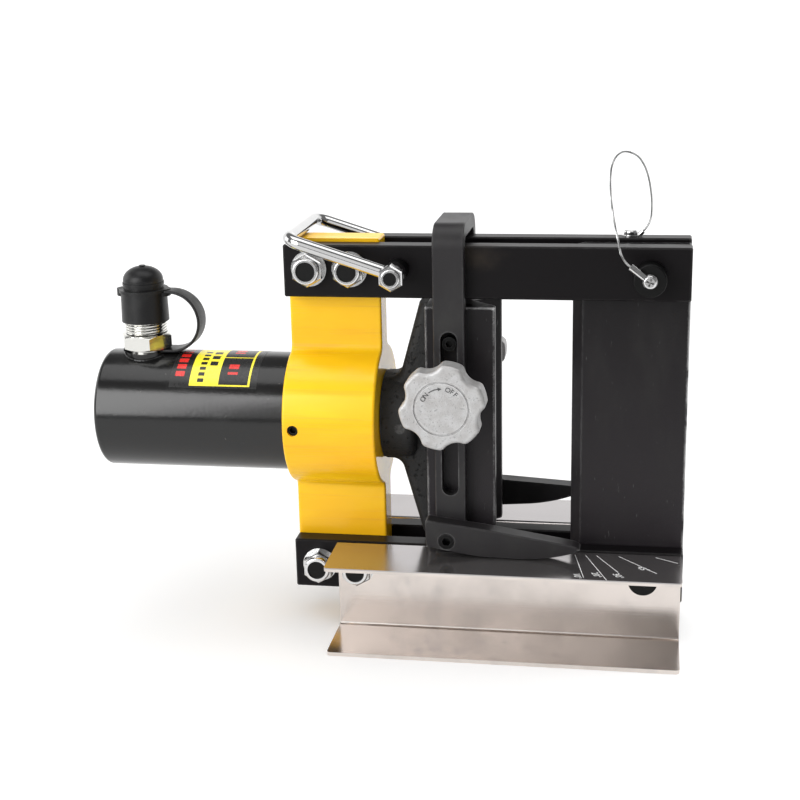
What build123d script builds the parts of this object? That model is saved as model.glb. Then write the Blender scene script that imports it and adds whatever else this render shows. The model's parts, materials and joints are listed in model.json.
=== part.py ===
# Hydraulic bar bender. Millimetres, +Z up, ram travel along +X, operator side facing -Y.
# The floor is z = 0 and the origin lies under the middle of the overall length.
import os
from math import cos, pi, radians, sin, tan

from build123d import *

os.makedirs("parts", exist_ok=True)

# Frame
opening_height = 160.0
base_height = 59.0
beam_length = 247.2
beam_height = 32.5
beam_thick = 12.5
beam_gap = 20.0
beam_edge = 0.8
table_depth = 46.5
table_sheet = 2.5
table_bend = 1.5
table_start = 28.7
table_end_gap = 1.0
table_corner = 2.5

# Cylinder and head
cylinder_reach = 125.0
tube_dia = 76.0
bore_dia = 54.0
tube_end_wall = 18.0
tube_edge = 3.0
thread_depth = 38.0
head_length = 58.2
boss_dia = 90.0
tongue_rise = 2.0
boss_blend = 5.5
head_edge = 1.6
rod_dia = 36.0
wiper_dia = 46.0
wiper_width = 6.0
bush_length = 22.0
set_screw_dia = 7.0
set_screw_x = 6.8
set_screw_sunk = 2.0
set_screw_key = 2.3
key_deep = 3.0

# Piston, ram head and moving die
piston_width = 24.0
piston_nose = 17.5
piston_nose_dia = 40.0
piston_spigot_dia = 24.0
piston_spigot = 16.0
seal_width = 5.0
seal_depth = 3.4
spring_wire = 4.0
ram_head_length = 28.5
neck_dia = 56.0
neck_length = 21.5
yoke_thick = 28.0
yoke_tip = 5.0
flare_start = 10.2
neck_blend = 7.5
yoke_step = 1.0
cast_edge = 6.0
rod_end_dia = 32.0
rod_end = 19.0
rod_seat = 20.0
yoke_start = 1.0
ram_screw_dia = 6.0
ram_screw_x = 12.5
ram_screw_drop = 2.0
ram_screw_sunk = 2.6
ram_screw_key = 1.9
die_length = 43.2
die_gap_z = 5.0
die_proud = 0.4
vee_half = 17.0
vee_root = 3.0
vee_lip = 1.6
die_edge = 0.9
die_screw_dia = 8.0
die_screw_z = 45.0
die_screw_seat = 14.0
die_screw_head_dia = 13.0
die_screw_bite = 8.0
die_screw_hole = 10.0
die_screw_key = 3.4

# Fixed die and its pins
fixed_die_length = 71.7
fixed_die_height = 220.0
nose_bevel = 7.0
nose_round = 3.0
nose_edge = 1.0
pin_dia = 14.0
pin_head_dia = 19.6
pin_head = 15.0
pin_inset = 24.4
pin_drop = 1.0
pin_tail = 1.5
pin_point = 1.2
pin_edge = 0.8
pin_screw_hole = 8.0
low_pin_head_dia = 18.2
low_pin_head = 6.0
low_pin_tail = 9.5
low_nut_flats = 21.0
low_nut = 8.0

# Bar rest
strap_width = 19.0
strap_thick = 9.0
strap_inset = 16.0
strap_rise = 13.7
strap_corner = 14.0
strap_foot = 1.0
strap_edge = 0.5
slot_clear = 1.1
slot_top = 61.5
slot_bottom = 43.0
arm_thick = 10.5
arm_pivot_x = -1.5
arm_pivot_z = 10.2
rear_arm_rise = 5.0
rear_arm_turn = 5.6
arm_screw_dia = 6.0
arm_screw_head_dia = 9.6
arm_screw_seat = 5.0
arm_key = 2.9
arm_edge = 0.6
arm_corner = 2.0
guide_screw_dia = 5.0
guide_head_dia = 8.6
guide_head = 6.5
guide_z = 53.5
guide_bite = 10.0
guide_hole = 11.0
guide_key = 2.4

# Clamp knobs
knob_dia = 52.4
knob_lobes = 6
knob_valley = 10.5
knob_valley_at = 33.0
knob_tip = 4.0
knob_rim = 13.0
knob_hub_dia = 26.0
knob_hub = 21.6
knob_edge = 2.2
knob_disc_dia = 33.8
knob_groove = 1.3
knob_groove_deep = 0.8
knob_stud_dia = 8.0
knob_stud = 14.0
stud_seat = 15.0
knob_bore = 14.0
front_knob_z = 23.4
front_knob_turn = 16.5
rear_knob_z = 28.3
rear_knob_turn = 0.0

# Carry handle
handle_rod_dia = 8.0
handle_leg_y = 41.0
handle_reach = 64.5
handle_bend = 9.0
handle_eye_dia = 14.5
handle_eye = 8.2
handle_eye_lap = 0.65
handle_rest = 0.4
handle_offset = 13.5
handle_stud_dia = 8.0
handle_spacer_dia = 13.5
handle_nut_flats = 14.0
handle_nut = 6.5
handle_collar_dia = 11.4
handle_collar = 2.0
handle_stud_end = -0.6

# Frame bolts
bolt_dia = 12.0
bolt_pitch = 25.4
bolt_lift = 1.75
bolt_flats = 18.0
bolt_head = 7.5
bolt_nut = 7.0
nut_collar_dia = 16.4
nut_collar = 3.4
nut_round = 1.2
nut_edge = 0.7
bolt_end = -1.0
washer_dia = 22.0
washer_thick = 2.0

# Hydraulic coupler and dust cap
coupler_inset = 26.5
port_boss_dia = 28.0
port_boss_top = 38.6
port_boss_root = 7.0
port_dia = 6.0
coupler_spigot_dia = 19.0
coupler_spigot = 9.0
coupler_shoulder_dia = 22.0
coupler_shoulder = 2.0
tether_sheet = 1.8
tether_band = 15.0
tether_ring_dia = 31.0
tether_bend = 19.2
tether_gap = 0.4
tether_lap = 2.4
tether_mouth = 6.0
hex_step = 1.5
hex_edge = 0.8
hex_turn = -15.0
hex_height = 9.9
coupler_neck_dia = 27.0
coupler_neck = 27.5
neck_edge = 1.0
coupler_bore_dia = 17.0
spring_seat = 2.0
poppet_height = 6.0
poppet_inset = 2.0
poppet_edge = 1.5
poppet_stem = 10.0
coupler_spring_wire = 1.4
coupler_spring_gap = 1.5
cap_wall = 1.35
cap_taper = 0.4
cap_lift = 8.0
cap_skirt = 16.5
cap_collar = 4.5
cap_ear = 2.9
cap_ear_width = 12.0
cap_lip = 0.9
cap_lip_height = 2.0
cap_dome_step = 2.0
cap_dome_wall = 5.6
cap_dome_round = 8.9
cap_bead = 0.5
cap_bead_z = 2.6
cap_bead_width = 1.6
cap_nub_dia = 4.0
cap_nub = 0.5
cap_head_gap = 0.6

# Lanyard
wire_dia = 1.2
anchor_inset = 37.0
anchor_ring_dia = 10.5
terminal_sheet = 1.0
anchor_tab = 7.0
anchor_crimp_dia = 3.0
anchor_crimp_x = 5.5
anchor_crimp_z = 1.15
anchor_crimp = 3.0
anchor_rise = 45.0
anchor_screw_dia = 3.2
anchor_screw_length = 9.0
anchor_hole = 10.0
anchor_head_dia = 8.6
anchor_head = 3.0
anchor_head_edge = 1.2
eye_ring_dia = 8.6
eye_crimp = 14.7
eye_crimp_dia = 4.2
eye_tab = 3.4
eye_lap = 0.6
seam_width = 0.8
seam_depth = 0.6
eye_turn = 142.0
pin_screw_dia = 3.2
pin_screw_head_dia = 8.0
pin_screw_head = 2.6
pin_screw_length = 7.0
pin_screw_round = 1.2
cross_length = 4.6
cross_width = 0.9
cross_deep = 1.4
cross_turn = 20.0
wire_corner = 0.45

# Clearances
bolt_clear = 0.25
pin_clear = 0.2
die_side_clear = 0.2
rod_clear = 0.5
bush_clear = 0.05
wiper_clear = 0.3
piston_clear = 0.3
seal_clear = 0.1
stop_gap = 0.5
ram_gap = 0.5
strap_clear = 0.3
arm_gap = 0.2
arm_clear = 0.3
knob_gap = 0.2
stud_clear = 0.25
handle_gap = 0.2
handle_clear = 0.3
cap_clear = 0.35
poppet_clear = 0.4
small_clear = 0.1
screw_gap = 0.3
cut_margin = 5.0
pick = 0.1

# Placement
beam_x0 = (cylinder_reach - beam_length) / 2
beam_x1 = beam_x0 + beam_length
beam_xc = (beam_x0 + beam_x1) / 2
axis_z = base_height + opening_height / 2
top_z = axis_z + opening_height / 2
roof_z = top_z + beam_height
beam_in = beam_gap / 2
beam_out = beam_in + beam_thick
web_out = beam_out + table_sheet
tube_x0 = beam_x0 - cylinder_reach
head_x1 = beam_x0 + head_length
tube_length = cylinder_reach + thread_depth
table_x0 = beam_x0 + table_start
table_x1 = beam_x1 - table_end_gap
bolt_x1 = beam_x0 + head_length / 2 - bolt_pitch / 2
bolt_x2 = beam_x0 + head_length / 2 + bolt_pitch / 2
top_bolt_z = top_z + beam_height / 2 + bolt_lift
low_bolt_z = base_height - beam_height / 2
handle_x = head_x1 + handle_offset
pin_x = beam_x1 - pin_inset
pin_z = top_z + beam_height / 2 - pin_drop
anchor_x = beam_x1 - anchor_inset
bolt_hole = bolt_dia / 2 + bolt_clear
stud_hole = handle_stud_dia / 2 + bolt_clear
pin_hole = pin_dia / 2 + pin_clear
tube_r = tube_dia / 2
bore_r = bore_dia / 2
rod_r = rod_dia / 2
boss_r = boss_dia / 2
tongue_z = opening_height / 2 + beam_height + tongue_rise
ram_x0 = head_x1 + ram_gap
die_x0 = ram_x0 + ram_head_length
die_x1 = die_x0 + die_length
die_half = beam_out + die_proud
die_height = opening_height - 2 * die_gap_z
strap_x = die_x0 + strap_inset
strap_in = die_half + strap_clear
strap_out = strap_in + strap_thick
strap_top = roof_z + strap_rise
strap_low = base_height + strap_foot
arm_in = strap_out + arm_gap
arm_out = arm_in + arm_thick
pivot_x = strap_x + arm_pivot_x
front_pivot_z = base_height + arm_pivot_z
rear_pivot_z = front_pivot_z + rear_arm_rise
slot_mid = axis_z + (slot_top - slot_bottom) / 2
slot_length = slot_top + slot_bottom
slot_width = knob_stud_dia + 2 * slot_clear
hub_y = strap_out + knob_gap
rim_y = hub_y + knob_hub
face_y = rim_y + knob_rim
eye_y = handle_leg_y - handle_eye / 2
eye_out = handle_leg_y + handle_eye / 2
nut_y = eye_out + handle_gap
stud_y = nut_y + handle_nut + handle_collar + handle_stud_end
bar_z = axis_z + tongue_z + handle_rod_dia / 2 + handle_rest
bar_x = handle_x - handle_reach
port_x = tube_x0 + coupler_inset
boss_z = axis_z + port_boss_top
hex_z = boss_z + coupler_shoulder
hex_flats = coupler_neck_dia + 2 * hex_step
neck_z = hex_z + hex_height
neck_top = neck_z + coupler_neck
cap_z = neck_z + cap_lift
collar_z = cap_z + cap_skirt
dome_z = collar_z + cap_collar
cap_base_r = coupler_neck_dia / 2 + cap_clear + cap_wall
cap_top_r = cap_base_r - cap_taper
cap_dome_r = cap_top_r - cap_dome_step
tether_offset = cap_top_r + cap_ear + tether_gap
tether_tail = tether_offset - tether_ring_dia / 2 + tether_lap
fixed_x0 = beam_x1 - fixed_die_length
fixed_half = beam_gap / 2 - die_side_clear

# Upper and lower beams
with BuildPart() as front_top_beam:
    with BuildSketch(Plane.XZ.offset(beam_in)):
        with Locations((beam_xc, top_z + beam_height / 2)):
            Rectangle(beam_length, beam_height)
    extrude(amount=beam_thick)
    chamfer(front_top_beam.edges(), beam_edge)
    with BuildSketch(Plane.XZ.offset(beam_in)):
        with Locations((bolt_x1, top_bolt_z), (bolt_x2, top_bolt_z)):
            Circle(bolt_hole)
        with Locations((handle_x, top_bolt_z)):
            Circle(stud_hole)
        with Locations((pin_x, pin_z)):
            Circle(pin_hole)
    extrude(amount=beam_thick, mode=Mode.SUBTRACT)
front_top_beam.part.label = "front_top_beam"
export_step(front_top_beam.part, "parts/front_top_beam.step")

with BuildPart() as rear_top_beam:
    with BuildSketch(Plane.XZ.offset(-beam_out)):
        with Locations((beam_xc, top_z + beam_height / 2)):
            Rectangle(beam_length, beam_height)
    extrude(amount=beam_thick)
    chamfer(rear_top_beam.edges(), beam_edge)
    with BuildSketch(Plane.XZ.offset(-beam_out)):
        with Locations((bolt_x1, top_bolt_z), (bolt_x2, top_bolt_z)):
            Circle(bolt_hole)
        with Locations((handle_x, top_bolt_z)):
            Circle(stud_hole)
        with Locations((pin_x, pin_z)):
            Circle(pin_hole)
    extrude(amount=beam_thick, mode=Mode.SUBTRACT)
    with BuildSketch(Plane.XY.offset(roof_z)):
        with Locations((anchor_x, beam_in + beam_thick / 2)):
            Circle(anchor_screw_dia / 2 + small_clear)
    extrude(amount=-anchor_hole, mode=Mode.SUBTRACT)
rear_top_beam.part.label = "rear_top_beam"
export_step(rear_top_beam.part, "parts/rear_top_beam.step")

with BuildPart() as front_bottom_beam:
    with BuildSketch(Plane.XZ.offset(beam_in)):
        with Locations((beam_xc, base_height - beam_height / 2)):
            Rectangle(beam_length, beam_height)
    extrude(amount=beam_thick)
    chamfer(front_bottom_beam.edges(), beam_edge)
    with BuildSketch(Plane.XZ.offset(beam_in)):
        with Locations((bolt_x1, low_bolt_z), (bolt_x2, low_bolt_z)):
            Circle(bolt_hole)
        with Locations((pin_x, low_bolt_z)):
            Circle(pin_hole)
    extrude(amount=beam_thick, mode=Mode.SUBTRACT)
front_bottom_beam.part.label = "front_bottom_beam"
export_step(front_bottom_beam.part, "parts/front_bottom_beam.step")

with BuildPart() as rear_bottom_beam:
    with BuildSketch(Plane.XZ.offset(-beam_out)):
        with Locations((beam_xc, base_height - beam_height / 2)):
            Rectangle(beam_length, beam_height)
    extrude(amount=beam_thick)
    chamfer(rear_bottom_beam.edges(), beam_edge)
    with BuildSketch(Plane.XZ.offset(-beam_out)):
        with Locations((bolt_x1, low_bolt_z), (bolt_x2, low_bolt_z)):
            Circle(bolt_hole)
        with Locations((pin_x, low_bolt_z)):
            Circle(pin_hole)
    extrude(amount=beam_thick, mode=Mode.SUBTRACT)
rear_bottom_beam.part.label = "rear_bottom_beam"
export_step(rear_bottom_beam.part, "parts/rear_bottom_beam.step")

# Folded channel tables, upper flange level with the lower beams
table_xc = (table_x0 + table_x1) / 2
table_mid = beam_out + table_depth / 2
with BuildPart() as front_table:
    with BuildSketch(Plane.YZ.offset(table_x0)) as front_channel:
        with Locations((-table_mid, base_height / 2)):
            Rectangle(table_depth, base_height)
        fillet(front_channel.vertices().group_by(Axis.X)[-1], table_bend + table_sheet)
        with BuildLine():
            FilletPolyline(
                (-beam_out - table_depth - cut_margin, table_sheet),
                (-web_out, table_sheet),
                (-web_out, base_height - table_sheet),
                (-beam_out - table_depth - cut_margin, base_height - table_sheet),
                radius=table_bend,
                close=False,
            )
            Line(
                (-beam_out - table_depth - cut_margin, base_height - table_sheet),
                (-beam_out - table_depth - cut_margin, table_sheet),
            )
        make_face(mode=Mode.SUBTRACT)
    extrude(amount=table_x1 - table_x0)
    with BuildSketch(Plane.XZ.offset(beam_out)):
        with Locations((bolt_x2, low_bolt_z)):
            Circle(bolt_hole)
        with Locations((pin_x, low_bolt_z)):
            Circle(pin_hole)
    extrude(amount=table_sheet, mode=Mode.SUBTRACT)
    fillet(
        front_table.edges().filter_by(Axis.Z).group_by(Axis.Y)[0],
        table_corner,
    )
front_table.part.label = "front_table"
export_step(front_table.part, "parts/front_table.step")

with BuildPart() as rear_table:
    with BuildSketch(Plane.YZ.offset(table_x0)) as rear_channel:
        with Locations((table_mid, base_height / 2)):
            Rectangle(table_depth, base_height)
        fillet(rear_channel.vertices().group_by(Axis.X)[0], table_bend + table_sheet)
        with BuildLine():
            FilletPolyline(
                (beam_out + table_depth + cut_margin, table_sheet),
                (web_out, table_sheet),
                (web_out, base_height - table_sheet),
                (beam_out + table_depth + cut_margin, base_height - table_sheet),
                radius=table_bend,
                close=False,
            )
            Line(
                (beam_out + table_depth + cut_margin, base_height - table_sheet),
                (beam_out + table_depth + cut_margin, table_sheet),
            )
        make_face(mode=Mode.SUBTRACT)
    extrude(amount=table_x1 - table_x0)
    with BuildSketch(Plane.XZ.offset(-web_out)):
        with Locations((bolt_x2, low_bolt_z)):
            Circle(bolt_hole)
        with Locations((pin_x, low_bolt_z)):
            Circle(pin_hole)
    extrude(amount=table_sheet, mode=Mode.SUBTRACT)
    fillet(
        rear_table.edges().filter_by(Axis.Z).group_by(Axis.Y)[-1],
        table_corner,
    )
rear_table.part.label = "rear_table"
export_step(rear_table.part, "parts/rear_table.step")

# Yellow cylinder head with its tongue held between the beams
with BuildPart() as cylinder_head:
    with BuildSketch(Plane.YZ.offset(beam_x0)) as head_outline:
        with Locations((0, axis_z)):
            Circle(boss_r)
            Rectangle(beam_gap, 2 * tongue_z)
        fillet(
            head_outline.vertices()
            .filter_by_position(Axis.X, -beam_gap, beam_gap)
            .filter_by_position(Axis.Y, axis_z - boss_r, axis_z + boss_r),
            boss_blend,
        )
    extrude(amount=head_length)
    fillet(cylinder_head.faces().sort_by(Axis.X)[0].outer_wire().edges(), head_edge)
    fillet(cylinder_head.faces().sort_by(Axis.X)[-1].outer_wire().edges(), head_edge)
    with BuildSketch(Plane.YZ.offset(beam_x0)):
        with Locations((0, axis_z)):
            Circle(tube_r)
    extrude(amount=thread_depth, mode=Mode.SUBTRACT)
    with BuildSketch(Plane.YZ.offset(beam_x0)):
        with Locations((0, axis_z)):
            Circle(rod_r + rod_clear)
    extrude(amount=head_length, mode=Mode.SUBTRACT)
    with BuildSketch(Plane.YZ.offset(head_x1)):
        with Locations((0, axis_z)):
            Circle(wiper_dia / 2)
    extrude(amount=-wiper_width, mode=Mode.SUBTRACT)
    with BuildSketch(Plane.XZ.offset(-beam_gap)):
        with Locations(
            (bolt_x1, top_bolt_z),
            (bolt_x2, top_bolt_z),
            (bolt_x1, low_bolt_z),
            (bolt_x2, low_bolt_z),
        ):
            Circle(bolt_hole)
    extrude(amount=2 * beam_gap, mode=Mode.SUBTRACT)
    with BuildSketch(Plane.XZ.offset(boss_r + cut_margin)):
        with Locations((beam_x0 + set_screw_x, axis_z)):
            Circle(set_screw_dia / 2)
    extrude(amount=tube_r - boss_r - 2 * cut_margin, mode=Mode.SUBTRACT)
cylinder_head.part.label = "cylinder_head"
export_step(cylinder_head.part, "parts/cylinder_head.step")

with BuildPart() as boss_set_screw:
    with BuildSketch(Plane.XZ.offset(tube_r + screw_gap)):
        with Locations((beam_x0 + set_screw_x, axis_z)):
            Circle(set_screw_dia / 2)
    extrude(amount=boss_r - tube_r - screw_gap - set_screw_sunk)
    with BuildSketch(Plane.XZ.offset(boss_r - set_screw_sunk)):
        with Locations((beam_x0 + set_screw_x, axis_z)):
            RegularPolygon(set_screw_key, 6)
    extrude(amount=-key_deep, mode=Mode.SUBTRACT)
boss_set_screw.part.label = "boss_set_screw"
export_step(boss_set_screw.part, "parts/boss_set_screw.step")

# Cylinder tube with a closed end and a welded port boss
with BuildPart() as cylinder_tube:
    with BuildSketch(Plane.YZ.offset(tube_x0)):
        with Locations((0, axis_z)):
            Circle(tube_r)
    extrude(amount=tube_length)
    fillet(cylinder_tube.edges().filter_by(GeomType.CIRCLE).sort_by(Axis.X)[0], tube_edge)
    with BuildSketch(Plane.XY.offset(boss_z)):
        with Locations((port_x, 0)):
            Circle(port_boss_dia / 2)
    extrude(amount=tube_r - port_boss_top - port_boss_root)
    with BuildSketch(Plane.YZ.offset(tube_x0 + tube_end_wall)):
        with Locations((0, axis_z)):
            Circle(bore_r)
    extrude(amount=tube_length, mode=Mode.SUBTRACT)
    with BuildSketch(Plane.XY.offset(boss_z)):
        with Locations((port_x, 0)):
            Circle(coupler_spigot_dia / 2)
    extrude(amount=-coupler_spigot, mode=Mode.SUBTRACT)
    with BuildSketch(Plane.XY.offset(boss_z)):
        with Locations((port_x, 0)):
            Circle(port_dia / 2)
    extrude(amount=bore_r - port_boss_top - cut_margin, mode=Mode.SUBTRACT)
cylinder_tube.part.label = "cylinder_tube"
export_step(cylinder_tube.part, "parts/cylinder_tube.step")

bush_x = beam_x0 + thread_depth - bush_length
with BuildPart() as guide_bush:
    with BuildSketch(Plane.YZ.offset(bush_x)):
        with Locations((0, axis_z)):
            Circle(bore_r)
            Circle(rod_r + bush_clear, mode=Mode.SUBTRACT)
    extrude(amount=bush_length)
guide_bush.part.label = "guide_bush"
export_step(guide_bush.part, "parts/guide_bush.step")

with BuildPart() as rod_wiper:
    with BuildSketch(Plane.YZ.offset(head_x1 - wiper_width)):
        with Locations((0, axis_z)):
            Circle(wiper_dia / 2)
            Circle(rod_r + wiper_clear, mode=Mode.SUBTRACT)
    extrude(amount=wiper_width)
rod_wiper.part.label = "rod_wiper"
export_step(rod_wiper.part, "parts/rod_wiper.step")

# Piston, seal, rod and return spring
nose_x = tube_x0 + tube_end_wall + stop_gap
piston_x0 = nose_x + piston_nose
piston_x1 = piston_x0 + piston_width
piston_r = bore_r - piston_clear
seal_x = piston_x0 + (piston_width - seal_width) / 2
with BuildPart() as piston:
    with BuildSketch(Plane.YZ.offset(nose_x)):
        with Locations((0, axis_z)):
            Circle(piston_nose_dia / 2)
    extrude(amount=piston_nose)
    with BuildSketch(Plane.YZ.offset(piston_x0)):
        with Locations((0, axis_z)):
            Circle(piston_r)
    extrude(amount=piston_width)
    with BuildSketch(Plane.YZ.offset(seal_x)):
        with Locations((0, axis_z)):
            Circle(bore_r)
            Circle(piston_r - seal_depth, mode=Mode.SUBTRACT)
    extrude(amount=seal_width, mode=Mode.SUBTRACT)
    with BuildSketch(Plane.YZ.offset(piston_x1)):
        with Locations((0, axis_z)):
            Circle(piston_spigot_dia / 2)
    extrude(amount=-piston_spigot, mode=Mode.SUBTRACT)
piston.part.label = "piston"
export_step(piston.part, "parts/piston.step")

with BuildPart() as piston_seal:
    with BuildSketch(Plane.YZ.offset(seal_x)):
        with Locations((0, axis_z)):
            Circle(bore_r - seal_clear)
            Circle(piston_r - seal_depth, mode=Mode.SUBTRACT)
    extrude(amount=seal_width)
piston_seal.part.label = "piston_seal"
export_step(piston_seal.part, "parts/piston_seal.step")

with BuildPart() as piston_rod:
    with BuildSketch(Plane.YZ.offset(piston_x1 - piston_spigot)):
        with Locations((0, axis_z)):
            Circle(piston_spigot_dia / 2)
    extrude(amount=piston_spigot)
    with BuildSketch(Plane.YZ.offset(piston_x1)):
        with Locations((0, axis_z)):
            Circle(rod_r)
    extrude(amount=ram_x0 - piston_x1)
    with BuildSketch(Plane.YZ.offset(ram_x0)):
        with Locations((0, axis_z)):
            Circle(rod_end_dia / 2)
    extrude(amount=rod_end)
piston_rod.part.label = "piston_rod"
export_step(piston_rod.part, "parts/piston_rod.step")

spring_mid = (bore_r + rod_r) / 2
with BuildPart() as return_spring:
    with BuildSketch(Plane.YZ.offset(piston_x1 + stop_gap)):
        with Locations((0, axis_z)):
            Circle(spring_mid + spring_wire / 2)
            Circle(spring_mid - spring_wire / 2, mode=Mode.SUBTRACT)
    extrude(amount=bush_x - piston_x1 - stop_gap)
return_spring.part.label = "return_spring"
export_step(return_spring.part, "parts/return_spring.step")

# Cast ram head: round neck flaring into a flat yoke as tall as the moving die
neck_r = neck_dia / 2
yoke_r = neck_r - yoke_step
with BuildPart() as ram_head:
    with BuildSketch(Plane.XZ.offset(-yoke_thick / 2)) as yoke_outline:
        with BuildLine():
            Polyline(
                (ram_x0 + yoke_start, axis_z + yoke_r),
                (ram_x0 + flare_start, axis_z + yoke_r),
                (die_x0 - yoke_tip, axis_z + die_height / 2),
                (die_x0, axis_z + die_height / 2),
                (die_x0, axis_z - die_height / 2),
                (die_x0 - yoke_tip, axis_z - die_height / 2),
                (ram_x0 + flare_start, axis_z - yoke_r),
                (ram_x0 + yoke_start, axis_z - yoke_r),
                close=True,
            )
        make_face()
        fillet(
            yoke_outline.vertices().filter_by_position(
                Axis.X, ram_x0 + flare_start - pick, ram_x0 + flare_start + pick
            ),
            neck_blend,
        )
    extrude(amount=yoke_thick)
    fillet(
        ram_head.faces()
        .filter_by(Axis.Y)
        .edges()
        .filter_by_position(Axis.X, ram_x0 + yoke_start + pick, die_x0 - yoke_tip),
        cast_edge,
    )
    with BuildSketch(Plane.XZ) as neck_profile:
        with BuildLine():
            Polyline(
                (ram_x0, axis_z),
                (ram_x0, axis_z + neck_r),
                (ram_x0 + neck_length, axis_z + neck_r),
                (ram_x0 + neck_length, axis_z),
                close=True,
            )
        make_face()
        fillet(
            neck_profile.vertices().group_by(Axis.Y)[-1].sort_by(Axis.X)[-1],
            cast_edge,
        )
    revolve(axis=Axis((ram_x0, 0, axis_z), (1, 0, 0)))
    with BuildSketch(Plane.YZ.offset(ram_x0)):
        with Locations((0, axis_z)):
            Circle(rod_end_dia / 2)
    extrude(amount=rod_seat, mode=Mode.SUBTRACT)
    with BuildSketch(Plane.YZ.offset(die_x0)):
        with Locations((0, axis_z + die_screw_z), (0, axis_z - die_screw_z)):
            Circle(die_screw_dia / 2)
    extrude(amount=-die_screw_hole, mode=Mode.SUBTRACT)
    with BuildSketch(Plane.XZ.offset(neck_r + cut_margin)):
        with Locations((ram_x0 + ram_screw_x, axis_z - ram_screw_drop)):
            Circle(ram_screw_dia / 2)
    extrude(amount=rod_end_dia / 2 - neck_r - 2 * cut_margin, mode=Mode.SUBTRACT)
ram_head.part.label = "ram_head"
export_step(ram_head.part, "parts/ram_head.step")

with BuildPart() as ram_head_screw:
    with BuildSketch(Plane.XZ.offset(rod_end_dia / 2 + screw_gap)):
        with Locations((ram_x0 + ram_screw_x, axis_z - ram_screw_drop)):
            Circle(ram_screw_dia / 2)
    extrude(amount=neck_r - rod_end_dia / 2 - screw_gap - ram_screw_sunk)
    with BuildSketch(Plane.XZ.offset(neck_r - ram_screw_sunk)):
        with Locations((ram_x0 + ram_screw_x, axis_z - ram_screw_drop)):
            RegularPolygon(ram_screw_key, 6)
    extrude(amount=-key_deep, mode=Mode.SUBTRACT)
ram_head_screw.part.label = "ram_head_screw"
export_step(ram_head_screw.part, "parts/ram_head_screw.step")

# Moving die with its upright vee
with BuildPart() as moving_die:
    with BuildSketch(Plane.XY.offset(axis_z - die_height / 2)) as die_outline:
        with BuildLine():
            Polyline(
                (die_x0, -die_half),
                (die_x1, -die_half),
                (die_x1, -vee_half),
                (die_x1 - vee_half, 0),
                (die_x1, vee_half),
                (die_x1, die_half),
                (die_x0, die_half),
                close=True,
            )
        make_face()
        fillet(
            die_outline.vertices().filter_by_position(Axis.Y, -pick, pick),
            vee_root,
        )
        fillet(
            die_outline.vertices()
            .group_by(Axis.X)[-1]
            .filter_by_position(Axis.Y, -vee_half - pick, vee_half + pick),
            vee_lip,
        )
        fillet(die_outline.vertices().group_by(Axis.Y)[0], die_edge)
        fillet(die_outline.vertices().group_by(Axis.Y)[-1], die_edge)
    extrude(amount=die_height)
    chamfer(moving_die.faces().sort_by(Axis.Z)[-1].edges(), die_edge / 2)
    chamfer(moving_die.faces().sort_by(Axis.Z)[0].edges(), die_edge / 2)
    with BuildSketch(Plane.YZ.offset(die_x0)):
        with Locations((0, axis_z + die_screw_z), (0, axis_z - die_screw_z)):
            Circle(die_screw_dia / 2 + bolt_clear)
    extrude(amount=die_length, mode=Mode.SUBTRACT)
    with BuildSketch(Plane.YZ.offset(die_x0 + die_screw_seat)):
        with Locations((0, axis_z + die_screw_z), (0, axis_z - die_screw_z)):
            Circle(die_screw_head_dia / 2 + bolt_clear)
    extrude(amount=die_length, mode=Mode.SUBTRACT)
    with BuildSketch(Plane.XZ.offset(die_half)):
        with Locations((strap_x, axis_z + front_knob_z)):
            Circle(knob_stud_dia / 2 + stud_clear)
    extrude(amount=-stud_seat, mode=Mode.SUBTRACT)
    with BuildSketch(Plane.XZ.offset(-die_half)):
        with Locations((strap_x, axis_z + rear_knob_z)):
            Circle(knob_stud_dia / 2 + stud_clear)
    extrude(amount=stud_seat, mode=Mode.SUBTRACT)
    with BuildSketch(Plane.XZ.offset(die_half)):
        with Locations((strap_x, axis_z + guide_z)):
            Circle(guide_screw_dia / 2)
    extrude(amount=-guide_hole, mode=Mode.SUBTRACT)
    with BuildSketch(Plane.XZ.offset(-die_half)):
        with Locations((strap_x, axis_z + guide_z)):
            Circle(guide_screw_dia / 2)
    extrude(amount=guide_hole, mode=Mode.SUBTRACT)
moving_die.part.label = "moving_die"
export_step(moving_die.part, "parts/moving_die.step")

with BuildPart() as die_screws:
    with BuildSketch(Plane.YZ.offset(die_x0 - die_screw_bite)):
        with Locations((0, axis_z + die_screw_z), (0, axis_z - die_screw_z)):
            Circle(die_screw_dia / 2)
    extrude(amount=die_screw_bite + die_screw_seat)
    with BuildSketch(Plane.YZ.offset(die_x0 + die_screw_seat)):
        with Locations((0, axis_z + die_screw_z), (0, axis_z - die_screw_z)):
            Circle(die_screw_head_dia / 2)
            RegularPolygon(die_screw_key, 6, mode=Mode.SUBTRACT)
    extrude(amount=die_screw_dia)
die_screws.part.label = "die_screws"
export_step(die_screws.part, "parts/die_screws.step")

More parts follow.
